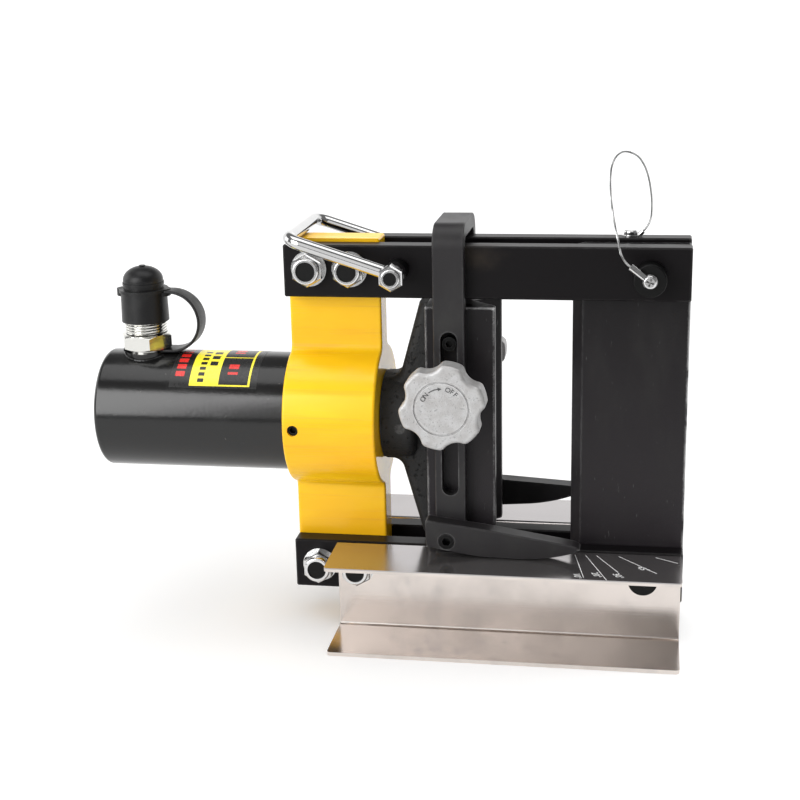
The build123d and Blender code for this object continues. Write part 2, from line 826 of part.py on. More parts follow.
with BuildPart() as guide_screws:
    with BuildSketch(Plane.XZ.offset(die_half - guide_bite)):
        with Locations((strap_x, axis_z + guide_z)):
            Circle(guide_screw_dia / 2)
    extrude(amount=guide_bite)
    with BuildSketch(Plane.XZ.offset(die_half)):
        with Locations((strap_x, axis_z + guide_z)):
            Circle(guide_head_dia / 2)
    extrude(amount=guide_head)
    with BuildSketch(Plane.XZ.offset(die_half + guide_head)):
        with Locations((strap_x, axis_z + guide_z)):
            RegularPolygon(guide_key, 6)
    extrude(amount=-key_deep, mode=Mode.SUBTRACT)
    with BuildSketch(Plane.XZ.offset(guide_bite - die_half)):
        with Locations((strap_x, axis_z + guide_z)):
            Circle(guide_screw_dia / 2)
    extrude(amount=-guide_bite)
    with BuildSketch(Plane.XZ.offset(-die_half)):
        with Locations((strap_x, axis_z + guide_z)):
            Circle(guide_head_dia / 2)
    extrude(amount=-guide_head)
    with BuildSketch(Plane.XZ.offset(-die_half - guide_head)):
        with Locations((strap_x, axis_z + guide_z)):
            RegularPolygon(guide_key, 6)
    extrude(amount=key_deep, mode=Mode.SUBTRACT)
guide_screws.part.label = "guide_screws"
export_step(guide_screws.part, "parts/guide_screws.step")

# Fixed die with its bevelled nose, held by an upper pull pin and a lower pin
with BuildPart() as fixed_die:
    with BuildSketch(Plane.XY.offset(axis_z - fixed_die_height / 2)) as nose_outline:
        with BuildLine():
            Polyline(
                (fixed_x0, 0),
                (fixed_x0 + nose_bevel, -fixed_half),
                (beam_x1, -fixed_half),
                (beam_x1, fixed_half),
                (fixed_x0 + nose_bevel, fixed_half),
                close=True,
            )
        make_face()
        fillet(nose_outline.vertices().sort_by(Axis.X)[0], nose_round)
        fillet(
            nose_outline.vertices().filter_by_position(
                Axis.X, fixed_x0 + nose_bevel - pick, fixed_x0 + nose_bevel + pick
            ),
            nose_edge,
        )
    extrude(amount=fixed_die_height)
    chamfer(fixed_die.faces().sort_by(Axis.Z)[-1].edges(), beam_edge)
    chamfer(fixed_die.faces().sort_by(Axis.Z)[0].edges(), beam_edge)
    with BuildSketch(Plane.XZ.offset(-beam_gap)):
        with Locations((pin_x, pin_z)):
            Circle(pin_hole)
        with Locations((pin_x, low_bolt_z)):
            Circle(pin_dia / 2)
    extrude(amount=2 * beam_gap, mode=Mode.SUBTRACT)
fixed_die.part.label = "fixed_die"
export_step(fixed_die.part, "parts/fixed_die.step")

with BuildPart() as die_pin:
    with BuildSketch(Plane.XZ.offset(-beam_out - pin_tail)):
        with Locations((pin_x, pin_z)):
            Circle(pin_dia / 2)
    extrude(amount=2 * beam_out + pin_tail)
    chamfer(die_pin.edges().filter_by(GeomType.CIRCLE).sort_by(Axis.Y)[-1], pin_point)
    with BuildSketch(Plane.XZ.offset(beam_out)):
        with Locations((pin_x, pin_z)):
            Circle(pin_head_dia / 2)
    extrude(amount=pin_head)
    fillet(die_pin.edges().filter_by(GeomType.CIRCLE).sort_by(Axis.Y)[0], pin_edge)
    with BuildSketch(Plane.XZ.offset(beam_out + pin_head)):
        with Locations((pin_x, pin_z)):
            Circle(pin_screw_dia / 2)
    extrude(amount=-pin_screw_hole, mode=Mode.SUBTRACT)
die_pin.part.label = "die_pin"
export_step(die_pin.part, "parts/die_pin.step")

with BuildPart() as lower_die_pin:
    with BuildSketch(Plane.XZ.offset(-web_out - low_pin_tail)):
        with Locations((pin_x, low_bolt_z)):
            Circle(pin_dia / 2)
    extrude(amount=2 * web_out + low_pin_tail)
    with BuildSketch(Plane.XZ.offset(web_out)):
        with Locations((pin_x, low_bolt_z)):
            Circle(low_pin_head_dia / 2)
    extrude(amount=low_pin_head)
    fillet(lower_die_pin.edges().filter_by(GeomType.CIRCLE).sort_by(Axis.Y)[0], pin_edge)
lower_die_pin.part.label = "lower_die_pin"
export_step(lower_die_pin.part, "parts/lower_die_pin.step")

with BuildPart() as lower_die_nut:
    with BuildSketch(Plane.XZ.offset(-web_out)):
        with Locations((pin_x, low_bolt_z)):
            RegularPolygon(low_nut_flats / 2, 6, major_radius=False, rotation=30)
    extrude(amount=-low_nut)
    chamfer(lower_die_nut.faces().sort_by(Axis.Y)[-1].edges(), nut_edge)
    with BuildSketch(Plane.XZ.offset(-web_out)):
        with Locations((pin_x, low_bolt_z)):
            Circle(pin_dia / 2)
    extrude(amount=-low_nut, mode=Mode.SUBTRACT)
lower_die_nut.part.label = "lower_die_nut"
export_step(lower_die_nut.part, "parts/lower_die_nut.step")

# Frame bolts: heads at the rear, washers and collared lock nuts at the front
with BuildPart() as frame_bolts:
    with BuildSketch(Plane.XZ.offset(-beam_out)):
        with Locations((bolt_x1, top_bolt_z), (bolt_x2, top_bolt_z), (bolt_x1, low_bolt_z)):
            RegularPolygon(bolt_flats / 2, 6, major_radius=False, rotation=30)
    extrude(amount=-bolt_head)
    with BuildSketch(Plane.XZ.offset(-web_out)):
        with Locations((bolt_x2, low_bolt_z)):
            RegularPolygon(bolt_flats / 2, 6, major_radius=False, rotation=30)
    extrude(amount=-bolt_head)
    with BuildSketch(Plane.XZ.offset(-beam_out)):
        with Locations((bolt_x1, top_bolt_z), (bolt_x2, top_bolt_z), (bolt_x1, low_bolt_z)):
            Circle(bolt_dia / 2)
    extrude(amount=2 * beam_out + washer_thick + bolt_nut + nut_collar + bolt_end)
    with BuildSketch(Plane.XZ.offset(-web_out)):
        with Locations((bolt_x2, low_bolt_z)):
            Circle(bolt_dia / 2)
    extrude(amount=2 * web_out + washer_thick + bolt_nut + nut_collar + bolt_end)
frame_bolts.part.label = "frame_bolts"
export_step(frame_bolts.part, "parts/frame_bolts.step")

with BuildPart() as frame_washers:
    with BuildSketch(Plane.XZ.offset(beam_out)):
        with Locations((bolt_x1, top_bolt_z), (bolt_x2, top_bolt_z), (bolt_x1, low_bolt_z)):
            Circle(washer_dia / 2)
            Circle(bolt_hole, mode=Mode.SUBTRACT)
    extrude(amount=washer_thick)
    with BuildSketch(Plane.XZ.offset(web_out)):
        with Locations((bolt_x2, low_bolt_z)):
            Circle(washer_dia / 2)
            Circle(bolt_hole, mode=Mode.SUBTRACT)
    extrude(amount=washer_thick)
frame_washers.part.label = "frame_washers"
export_step(frame_washers.part, "parts/frame_washers.step")

with BuildPart() as frame_nuts:
    with BuildSketch(Plane.XZ.offset(beam_out + washer_thick)):
        with Locations((bolt_x1, top_bolt_z), (bolt_x2, top_bolt_z), (bolt_x1, low_bolt_z)):
            RegularPolygon(bolt_flats / 2, 6, major_radius=False, rotation=30)
    extrude(amount=bolt_nut)
    with BuildSketch(Plane.XZ.offset(web_out + washer_thick)):
        with Locations((bolt_x2, low_bolt_z)):
            RegularPolygon(bolt_flats / 2, 6, major_radius=False, rotation=30)
    extrude(amount=bolt_nut)
    chamfer(frame_nuts.faces().filter_by(Axis.Y).sort_by(Axis.Y)[:4].edges(), nut_edge)
    with BuildSketch(Plane.XZ.offset(beam_out + washer_thick + bolt_nut)):
        with Locations((bolt_x1, top_bolt_z), (bolt_x2, top_bolt_z), (bolt_x1, low_bolt_z)):
            Circle(nut_collar_dia / 2)
    extrude(amount=nut_collar)
    with BuildSketch(Plane.XZ.offset(web_out + washer_thick + bolt_nut)):
        with Locations((bolt_x2, low_bolt_z)):
            Circle(nut_collar_dia / 2)
    extrude(amount=nut_collar)
    fillet(frame_nuts.faces().filter_by(Axis.Y).sort_by(Axis.Y)[:4].edges(), nut_round)
    with BuildSketch(Plane.XZ.offset(beam_out)):
        with Locations(
            (bolt_x1, top_bolt_z),
            (bolt_x2, top_bolt_z),
            (bolt_x1, low_bolt_z),
            (bolt_x2, low_bolt_z),
        ):
            Circle(bolt_dia / 2)
    extrude(amount=washer_thick + bolt_nut + nut_collar + table_sheet, mode=Mode.SUBTRACT)
frame_nuts.part.label = "frame_nuts"
export_step(frame_nuts.part, "parts/frame_nuts.step")

# Carry handle on its cross stud, resting on the head tongue
with BuildPart() as handle_stud:
    with BuildSketch(Plane.XZ.offset(-stud_y)):
        with Locations((handle_x, top_bolt_z)):
            Circle(handle_stud_dia / 2)
    extrude(amount=2 * stud_y)
handle_stud.part.label = "handle_stud"
export_step(handle_stud.part, "parts/handle_stud.step")

with BuildPart() as handle_spacers:
    with BuildSketch(Plane.XZ.offset(beam_out)):
        with Locations((handle_x, top_bolt_z)):
            Circle(handle_spacer_dia / 2)
            Circle(handle_stud_dia / 2, mode=Mode.SUBTRACT)
    extrude(amount=eye_y - handle_gap - beam_out)
    with BuildSketch(Plane.XZ.offset(-beam_out)):
        with Locations((handle_x, top_bolt_z)):
            Circle(handle_spacer_dia / 2)
            Circle(handle_stud_dia / 2, mode=Mode.SUBTRACT)
    extrude(amount=beam_out + handle_gap - eye_y)
handle_spacers.part.label = "handle_spacers"
export_step(handle_spacers.part, "parts/handle_spacers.step")

with BuildPart() as handle_nuts:
    with BuildSketch(Plane.XZ.offset(nut_y)):
        with Locations((handle_x, top_bolt_z)):
            RegularPolygon(handle_nut_flats / 2, 6, major_radius=False, rotation=30)
    extrude(amount=handle_nut)
    chamfer(handle_nuts.faces().sort_by(Axis.Y)[0].edges(), nut_edge)
    with BuildSketch(Plane.XZ.offset(-nut_y)):
        with Locations((handle_x, top_bolt_z)):
            RegularPolygon(handle_nut_flats / 2, 6, major_radius=False, rotation=30)
    extrude(amount=-handle_nut)
    chamfer(handle_nuts.faces().sort_by(Axis.Y)[-1].edges(), nut_edge)
    with BuildSketch(Plane.XZ.offset(nut_y + handle_nut)):
        with Locations((handle_x, top_bolt_z)):
            Circle(handle_collar_dia / 2)
    extrude(amount=handle_collar)
    with BuildSketch(Plane.XZ.offset(-nut_y - handle_nut)):
        with Locations((handle_x, top_bolt_z)):
            Circle(handle_collar_dia / 2)
    extrude(amount=-handle_collar)
    fillet(handle_nuts.faces().sort_by(Axis.Y)[0].edges(), nut_edge)
    fillet(handle_nuts.faces().sort_by(Axis.Y)[-1].edges(), nut_edge)
    with BuildSketch(Plane.XZ.offset(-stud_y - cut_margin)):
        with Locations((handle_x, top_bolt_z)):
            Circle(handle_stud_dia / 2)
    extrude(amount=2 * (stud_y + cut_margin), mode=Mode.SUBTRACT)
handle_nuts.part.label = "handle_nuts"
export_step(handle_nuts.part, "parts/handle_nuts.step")

handle_rise = bar_z - top_bolt_z
handle_leg = (handle_reach**2 + handle_rise**2) ** 0.5
leg_start = handle_eye_dia / 2 - handle_eye_lap
leg_x = handle_x - handle_reach / handle_leg * leg_start
leg_z = top_bolt_z + handle_rise / handle_leg * leg_start
with BuildPart() as carry_handle:
    with BuildLine() as handle_path:
        FilletPolyline(
            (leg_x, -handle_leg_y, leg_z),
            (bar_x, -handle_leg_y, bar_z),
            (bar_x, handle_leg_y, bar_z),
            (leg_x, handle_leg_y, leg_z),
            radius=handle_bend,
        )
    with BuildSketch(Plane(handle_path.line @ 0, z_dir=handle_path.line % 0)):
        Circle(handle_rod_dia / 2)
    sweep()
    with BuildSketch(Plane.XZ.offset(eye_y)):
        with Locations((handle_x, top_bolt_z)):
            Circle(handle_eye_dia / 2)
    extrude(amount=handle_eye)
    with BuildSketch(Plane.XZ.offset(-eye_y)):
        with Locations((handle_x, top_bolt_z)):
            Circle(handle_eye_dia / 2)
    extrude(amount=-handle_eye)
    with BuildSketch(Plane.XZ.offset(-eye_out - cut_margin)):
        with Locations((handle_x, top_bolt_z)):
            Circle(handle_stud_dia / 2 + handle_clear)
    extrude(amount=2 * (eye_out + cut_margin), mode=Mode.SUBTRACT)
carry_handle.part.label = "carry_handle"
export_step(carry_handle.part, "parts/carry_handle.step")

# Bar rest: slotted strap over the beams with two support arms
with BuildPart() as rest_strap:
    with BuildSketch(Plane.YZ.offset(strap_x - strap_width / 2)) as strap_profile:
        with Locations((0, (strap_top + strap_low) / 2)):
            Rectangle(2 * strap_out, strap_top - strap_low)
        fillet(strap_profile.vertices().group_by(Axis.Y)[-1], strap_corner)
    extrude(amount=strap_width)
    with BuildSketch(Plane.YZ.offset(strap_x - strap_width / 2)) as strap_inside:
        with Locations((0, (strap_top - strap_thick + strap_low) / 2)):
            Rectangle(2 * strap_in, strap_top - strap_thick - strap_low)
        fillet(strap_inside.vertices().group_by(Axis.Y)[-1], strap_corner - strap_thick)
    extrude(amount=strap_width, mode=Mode.SUBTRACT)
    chamfer(rest_strap.faces().filter_by(Axis.X).edges(), strap_edge)
    with BuildSketch(Plane.XZ.offset(strap_out + cut_margin)):
        with Locations((strap_x, slot_mid)):
            SlotOverall(slot_length, slot_width, rotation=90)
    extrude(amount=-2 * (strap_out + cut_margin), mode=Mode.SUBTRACT)
    with BuildSketch(Plane.XZ.offset(strap_out)):
        with Locations((pivot_x, front_pivot_z)):
            Circle(arm_screw_dia / 2)
    extrude(amount=-strap_thick, mode=Mode.SUBTRACT)
    with BuildSketch(Plane.XZ.offset(-strap_out)):
        with Locations((pivot_x, rear_pivot_z)):
            Circle(arm_screw_dia / 2)
    extrude(amount=strap_thick, mode=Mode.SUBTRACT)
rest_strap.part.label = "rest_strap"
export_step(rest_strap.part, "parts/rest_strap.step")

with BuildSketch() as arm_outline:
    with BuildLine():
        Polyline((-12.8, -3.6), (-13.4, 13.8), (31.3, 7.9), (76.5, 0.6))
        ThreePointArc((76.5, 0.6), (80.3, -0.5), (82.6, -2.4))
        Line((82.6, -2.4), (79.0, -4.4))
        ThreePointArc((79.0, -4.4), (62.0, -8.5), (42.0, -9.7))
        Polyline((42.0, -9.7), (20.0, -9.2), (-6.0, -5.2), (-12.8, -3.6))
    make_face()
    fillet(arm_outline.vertices().sort_by(Axis.X)[:2], arm_corner)

front_arm_plane = Plane((pivot_x, -arm_in, front_pivot_z), x_dir=(1, 0, 0), z_dir=(0, -1, 0))
with BuildPart() as front_rest_arm:
    with BuildSketch(front_arm_plane):
        add(arm_outline.sketch)
    extrude(amount=arm_thick)
    chamfer(front_rest_arm.faces().sort_by(Axis.Y)[0].edges(), arm_edge)
    with BuildSketch(front_arm_plane):
        Circle(arm_screw_dia / 2 + arm_clear)
    extrude(amount=arm_thick, mode=Mode.SUBTRACT)
    with BuildSketch(front_arm_plane.offset(arm_screw_seat)):
        Circle(arm_screw_head_dia / 2 + arm_clear)
    extrude(amount=arm_thick, mode=Mode.SUBTRACT)
front_rest_arm.part.label = "front_rest_arm"
export_step(front_rest_arm.part, "parts/front_rest_arm.step")

arm_c = cos(radians(rear_arm_turn))
arm_s = sin(radians(rear_arm_turn))
rear_arm_plane = Plane((pivot_x, arm_out, rear_pivot_z), x_dir=(arm_c, 0, arm_s), z_dir=(0, -1, 0))
with BuildPart() as rear_rest_arm:
    with BuildSketch(rear_arm_plane):
        add(arm_outline.sketch)
    extrude(amount=arm_thick)
    chamfer(rear_rest_arm.faces().sort_by(Axis.Y)[-1].edges(), arm_edge)
    with BuildSketch(rear_arm_plane):
        Circle(arm_screw_dia / 2 + arm_clear)
    extrude(amount=arm_thick, mode=Mode.SUBTRACT)
    with BuildSketch(rear_arm_plane):
        Circle(arm_screw_head_dia / 2 + arm_clear)
    extrude(amount=arm_thick - arm_screw_seat, mode=Mode.SUBTRACT)
rear_rest_arm.part.label = "rear_rest_arm"
export_step(rear_rest_arm.part, "parts/rear_rest_arm.step")

with BuildPart() as rest_arm_screws:
    with BuildSketch(Plane.XZ.offset(strap_in)):
        with Locations((pivot_x, front_pivot_z)):
            Circle(arm_screw_dia / 2)
    extrude(amount=arm_in + arm_screw_seat + arm_gap - strap_in)
    with BuildSketch(Plane.XZ.offset(arm_in + arm_screw_seat + arm_gap)):
        with Locations((pivot_x, front_pivot_z)):
            Circle(arm_screw_head_dia / 2)
            RegularPolygon(arm_key, 6, mode=Mode.SUBTRACT)
    extrude(amount=arm_out - arm_in - arm_screw_seat)
    with BuildSketch(Plane.XZ.offset(-strap_in)):
        with Locations((pivot_x, rear_pivot_z)):
            Circle(arm_screw_dia / 2)
    extrude(amount=strap_in - arm_in - arm_screw_seat - arm_gap)
    with BuildSketch(Plane.XZ.offset(-arm_in - arm_screw_seat - arm_gap)):
        with Locations((pivot_x, rear_pivot_z)):
            Circle(arm_screw_head_dia / 2)
            RegularPolygon(arm_key, 6, mode=Mode.SUBTRACT)
    extrude(amount=arm_in + arm_screw_seat - arm_out)
rest_arm_screws.part.label = "rest_arm_screws"
export_step(rest_arm_screws.part, "parts/rest_arm_screws.step")

# Six lobed clamp knobs and their studs
front_knob_plane = Plane((strap_x, 0, axis_z + front_knob_z), x_dir=(1, 0, 0), z_dir=(0, -1, 0))
with BuildPart() as front_knob:
    with BuildSketch(front_knob_plane.offset(rim_y)) as front_lobes:
        Circle(knob_dia / 2)
        with PolarLocations(knob_valley_at, knob_lobes, start_angle=front_knob_turn + 180 / knob_lobes):
            Circle(knob_valley, mode=Mode.SUBTRACT)
        fillet(front_lobes.vertices(), knob_tip)
    extrude(amount=knob_rim)
    fillet(front_knob.faces().sort_by(Axis.Y)[0].edges(), knob_edge)
    with BuildSketch(front_knob_plane.offset(hub_y)):
        Circle(knob_hub_dia / 2)
    extrude(amount=knob_hub)
    with BuildSketch(front_knob_plane.offset(face_y)):
        Circle(knob_disc_dia / 2)
        Circle(knob_disc_dia / 2 - knob_groove, mode=Mode.SUBTRACT)
    extrude(amount=-knob_groove_deep, mode=Mode.SUBTRACT)
    with BuildSketch(front_knob_plane.offset(hub_y)):
        Circle(knob_stud_dia / 2)
    extrude(amount=knob_bore, mode=Mode.SUBTRACT)
front_knob.part.label = "front_knob"
export_step(front_knob.part, "parts/front_knob.step")

with BuildPart() as front_knob_stud:
    with BuildSketch(front_knob_plane.offset(die_half - knob_stud)):
        Circle(knob_stud_dia / 2)
    extrude(amount=hub_y + knob_bore - die_half + knob_stud)
front_knob_stud.part.label = "front_knob_stud"
export_step(front_knob_stud.part, "parts/front_knob_stud.step")

rear_knob_plane = Plane((strap_x, 0, axis_z + rear_knob_z), x_dir=(-1, 0, 0), z_dir=(0, 1, 0))
with BuildPart() as rear_knob:
    with BuildSketch(rear_knob_plane.offset(rim_y)) as rear_lobes:
        Circle(knob_dia / 2)
        with PolarLocations(knob_valley_at, knob_lobes, start_angle=rear_knob_turn + 180 / knob_lobes):
            Circle(knob_valley, mode=Mode.SUBTRACT)
        fillet(rear_lobes.vertices(), knob_tip)
    extrude(amount=knob_rim)
    fillet(rear_knob.faces().sort_by(Axis.Y)[-1].edges(), knob_edge)
    with BuildSketch(rear_knob_plane.offset(hub_y)):
        Circle(knob_hub_dia / 2)
    extrude(amount=knob_hub)
    with BuildSketch(rear_knob_plane.offset(face_y)):
        Circle(knob_disc_dia / 2)
        Circle(knob_disc_dia / 2 - knob_groove, mode=Mode.SUBTRACT)
    extrude(amount=-knob_groove_deep, mode=Mode.SUBTRACT)
    with BuildSketch(rear_knob_plane.offset(hub_y)):
        Circle(knob_stud_dia / 2)
    extrude(amount=knob_bore, mode=Mode.SUBTRACT)
rear_knob.part.label = "rear_knob"
export_step(rear_knob.part, "parts/rear_knob.step")

with BuildPart() as rear_knob_stud:
    with BuildSketch(rear_knob_plane.offset(die_half - knob_stud)):
        Circle(knob_stud_dia / 2)
    extrude(amount=hub_y + knob_bore - die_half + knob_stud)
rear_knob_stud.part.label = "rear_knob_stud"
export_step(rear_knob_stud.part, "parts/rear_knob_stud.step")

# Hydraulic coupler half with its valve poppet
with BuildPart() as coupler_body:
    with BuildSketch(Plane.XY.offset(hex_z)):
        with Locations((port_x, 0)):
            RegularPolygon(hex_flats / 2, 6, major_radius=False, rotation=hex_turn)
    extrude(amount=hex_height)
    chamfer(coupler_body.faces().sort_by(Axis.Z)[-1].edges(), hex_edge)
    with BuildSketch(Plane.XY.offset(boss_z)):
        with Locations((port_x, 0)):
            Circle(coupler_shoulder_dia / 2)
    extrude(amount=coupler_shoulder)
    with BuildSketch(Plane.XY.offset(boss_z - coupler_spigot)):
        with Locations((port_x, 0)):
            Circle(coupler_spigot_dia / 2)
    extrude(amount=coupler_spigot)
    with BuildSketch(Plane.XY.offset(neck_z)):
        with Locations((port_x, 0)):
            Circle(coupler_neck_dia / 2)
    extrude(amount=coupler_neck)
    chamfer(coupler_body.edges().filter_by(GeomType.CIRCLE).sort_by(Axis.Z)[-1], neck_edge)
    with BuildSketch(Plane.XY.offset(neck_top)):
        with Locations((port_x, 0)):
            Circle(coupler_bore_dia / 2)
    extrude(amount=-coupler_neck - spring_seat, mode=Mode.SUBTRACT)
    with BuildSketch(Plane.XY.offset(neck_top)):
        with Locations((port_x, 0)):
            Circle(port_dia / 2)
    extrude(amount=boss_z - coupler_spigot - neck_top, mode=Mode.SUBTRACT)
coupler_body.part.label = "coupler_body"
export_step(coupler_body.part, "parts/coupler_body.step")

poppet_z = neck_top - poppet_inset - poppet_height
with BuildPart() as coupler_poppet:
    with BuildSketch(Plane.XY.offset(poppet_z)):
        with Locations((port_x, 0)):
            Circle(coupler_bore_dia / 2 - poppet_clear)
    extrude(amount=poppet_height)
    chamfer(coupler_poppet.edges().filter_by(GeomType.CIRCLE).sort_by(Axis.Z)[-1], poppet_edge)
    with BuildSketch(Plane.XY.offset(poppet_z)):
        with Locations((port_x, 0)):
            Circle(port_dia / 2)
    extrude(amount=-poppet_stem)
coupler_poppet.part.label = "coupler_poppet"
export_step(coupler_poppet.part, "parts/coupler_poppet.step")

coupler_spring_mid = coupler_bore_dia / 2 - coupler_spring_gap - coupler_spring_wire / 2
with BuildPart() as coupler_spring:
    with BuildSketch(Plane.XY.offset(neck_z - spring_seat)):
        with Locations((port_x, 0)):
            Circle(coupler_spring_mid + coupler_spring_wire / 2)
            Circle(coupler_spring_mid - coupler_spring_wire / 2, mode=Mode.SUBTRACT)
    extrude(amount=poppet_z - neck_z + spring_seat - small_clear)
coupler_spring.part.label = "coupler_spring"
export_step(coupler_spring.part, "parts/coupler_spring.step")

# Rubber dust cap with two ears, and the band that tethers it
dome_top = dome_z + cap_dome_wall + cap_dome_round
cap_plane = Plane((port_x, 0, 0), x_dir=(1, 0, 0), z_dir=(0, -1, 0))
with BuildPart() as dust_cap:
    with BuildSketch(cap_plane):
        with BuildLine():
            Polyline(
                (0, dome_top),
                (0, cap_z),
                (cap_base_r, cap_z),
                (cap_top_r, collar_z),
                (cap_top_r, dome_z),
                (cap_dome_r, dome_z),
                (cap_dome_r, dome_z + cap_dome_wall),
            )
            EllipticalCenterArc((0, dome_z + cap_dome_wall), cap_dome_r, cap_dome_round)
        make_face()
    revolve(axis=Axis((port_x, 0, 0), (0, 0, 1)))
    with BuildSketch(Plane.XY.offset(dome_z + cap_bead_z)):
        with Locations((port_x, 0)):
            Circle(cap_dome_r + cap_bead)
    extrude(amount=cap_bead_width)
    with BuildSketch(Plane.XY.offset(dome_z)):
        with Locations((port_x, 0)):
            Circle(cap_top_r + cap_lip)
    extrude(amount=-cap_lip_height)
    with BuildSketch(Plane.XY.offset(dome_top + cap_nub)):
        with Locations((port_x, 0)):
            Circle(cap_nub_dia / 2)
    extrude(amount=-2 * cap_nub)
    with BuildSketch(Plane.XY.offset(collar_z)):
        with Locations((port_x, 0)):
            SlotOverall(2 * (cap_top_r + cap_ear), cap_ear_width)
    extrude(amount=cap_collar)
    with BuildSketch(Plane.XY.offset(cap_z)):
        with Locations((port_x, 0)):
            Circle(coupler_neck_dia / 2 + cap_clear)
    extrude(amount=neck_top + cap_head_gap - cap_z, mode=Mode.SUBTRACT)
dust_cap.part.label = "dust_cap"
export_step(dust_cap.part, "parts/dust_cap.step")

ring_z = boss_z + small_clear
bend_z = ring_z + tether_sheet / 2 + tether_bend
tether_plane = Plane((port_x, tether_band / 2, 0), x_dir=(1, 0, 0), z_dir=(0, -1, 0))
with BuildPart() as dust_cap_tether:
    with BuildSketch(Plane.XY.offset(ring_z)):
        with Locations((port_x, 0)):
            Circle(tether_ring_dia / 2)
            Circle(coupler_shoulder_dia / 2 + small_clear, mode=Mode.SUBTRACT)
        with Locations((port_x, -tether_ring_dia / 2 - tether_mouth)):
            Rectangle(tether_ring_dia, tether_ring_dia, mode=Mode.SUBTRACT)
    extrude(amount=tether_sheet)
    with BuildSketch(tether_plane):
        with Locations((tether_offset, bend_z)):
            Circle(tether_bend + tether_sheet / 2)
            Circle(tether_bend - tether_sheet / 2, mode=Mode.SUBTRACT)
        with Locations((tether_offset - 2 * tether_bend, bend_z)):
            Rectangle(4 * tether_bend, 4 * tether_bend, mode=Mode.SUBTRACT)
        with Locations((tether_offset - tether_tail / 2, ring_z + tether_sheet / 2)):
            Rectangle(tether_tail, tether_sheet)
    extrude(amount=tether_band)
dust_cap_tether.part.label = "dust_cap_tether"
export_step(dust_cap_tether.part, "parts/dust_cap_tether.step")

# Pin lanyard: ring terminals at both ends and a springy steel wire between them
anchor_y = beam_in + beam_thick / 2
rise_c = cos(radians(anchor_rise))
rise_s = sin(radians(anchor_rise))
anchor_crimp_plane = Plane(
    (anchor_x + anchor_crimp_x, anchor_y, roof_z + anchor_crimp_z),
    x_dir=(0, 1, 0),
    z_dir=(rise_c, 0, rise_s),
)
with BuildPart() as lanyard_anchor:
    with BuildSketch(Plane.XY.offset(roof_z)):
        with Locations((anchor_x, anchor_y)):
            Circle(anchor_ring_dia / 2)
        with Locations((anchor_x + anchor_tab / 2, anchor_y)):
            Rectangle(anchor_tab, anchor_crimp_dia)
    extrude(amount=terminal_sheet)
    with BuildSketch(anchor_crimp_plane):
        Circle(anchor_crimp_dia / 2)
    extrude(amount=anchor_crimp)
    with BuildSketch(Plane.XY.offset(roof_z)):
        with Locations((anchor_x, anchor_y)):
            Circle(anchor_screw_dia / 2 + small_clear)
    extrude(amount=terminal_sheet, mode=Mode.SUBTRACT)
lanyard_anchor.part.label = "lanyard_anchor"
export_step(lanyard_anchor.part, "parts/lanyard_anchor.step")

with BuildPart() as anchor_screw:
    with BuildSketch(Plane.XY.offset(roof_z - anchor_screw_length)):
        with Locations((anchor_x, anchor_y)):
            Circle(anchor_screw_dia / 2)
    extrude(amount=anchor_screw_length + terminal_sheet)
    with BuildSketch(Plane.XY.offset(roof_z + terminal_sheet)):
        with Locations((anchor_x, anchor_y)):
            Circle(anchor_head_dia / 2)
    extrude(amount=anchor_head)
    fillet(anchor_screw.edges().filter_by(GeomType.CIRCLE).sort_by(Axis.Z)[-1], anchor_head_edge)
anchor_screw.part.label = "anchor_screw"
export_step(anchor_screw.part, "parts/anchor_screw.step")

eye_c = cos(radians(eye_turn))
eye_s = sin(radians(eye_turn))
eye_face = beam_out + pin_head
crimp_y = eye_face + eye_crimp_dia / 2 + small_clear
crimp_start = eye_ring_dia / 2 - eye_lap
eye_plane = Plane((pin_x, -eye_face, pin_z), x_dir=(eye_c, 0, eye_s), z_dir=(0, -1, 0))
crimp_plane = Plane(
    (pin_x + crimp_start * eye_c, -crimp_y, pin_z + crimp_start * eye_s),
    x_dir=(0, -1, 0),
    z_dir=(eye_c, 0, eye_s),
)
with BuildPart() as pin_eye:
    with BuildSketch(eye_plane):
        Circle(eye_ring_dia / 2)
        with Locations((eye_ring_dia / 2, 0)):
            Rectangle(eye_tab, eye_crimp_dia)
    extrude(amount=terminal_sheet)
    with BuildSketch(crimp_plane):
        Circle(eye_crimp_dia / 2)
        with Locations((eye_crimp_dia / 2, 0)):
            Rectangle(2 * seam_depth, seam_width, mode=Mode.SUBTRACT)
    extrude(amount=eye_crimp - crimp_start)
    with BuildSketch(eye_plane):
        Circle(pin_screw_dia / 2 + small_clear)
    extrude(amount=terminal_sheet, mode=Mode.SUBTRACT)
    with BuildSketch(eye_plane.offset(terminal_sheet)):
        Circle(pin_screw_head_dia / 2 + small_clear)
    extrude(amount=2 * eye_crimp_dia, mode=Mode.SUBTRACT)
pin_eye.part.label = "pin_eye"
export_step(pin_eye.part, "parts/pin_eye.step")

with BuildPart() as pin_screw:
    with BuildSketch(eye_plane.offset(-pin_screw_length)):
        Circle(pin_screw_dia / 2)
    extrude(amount=pin_screw_length + terminal_sheet)
    with BuildSketch(eye_plane.offset(terminal_sheet)):
        Circle(pin_screw_head_dia / 2)
    extrude(amount=pin_screw_head)
    fillet(pin_screw.edges().filter_by(GeomType.CIRCLE).sort_by(Axis.Y)[0], pin_screw_round)
    with BuildSketch(eye_plane.offset(terminal_sheet + pin_screw_head)):
        Rectangle(cross_length, cross_width, rotation=cross_turn)
        Rectangle(cross_width, cross_length, rotation=cross_turn)
    extrude(amount=-cross_deep, mode=Mode.SUBTRACT)
pin_screw.part.label = "pin_screw"
export_step(pin_screw.part, "parts/pin_screw.step")

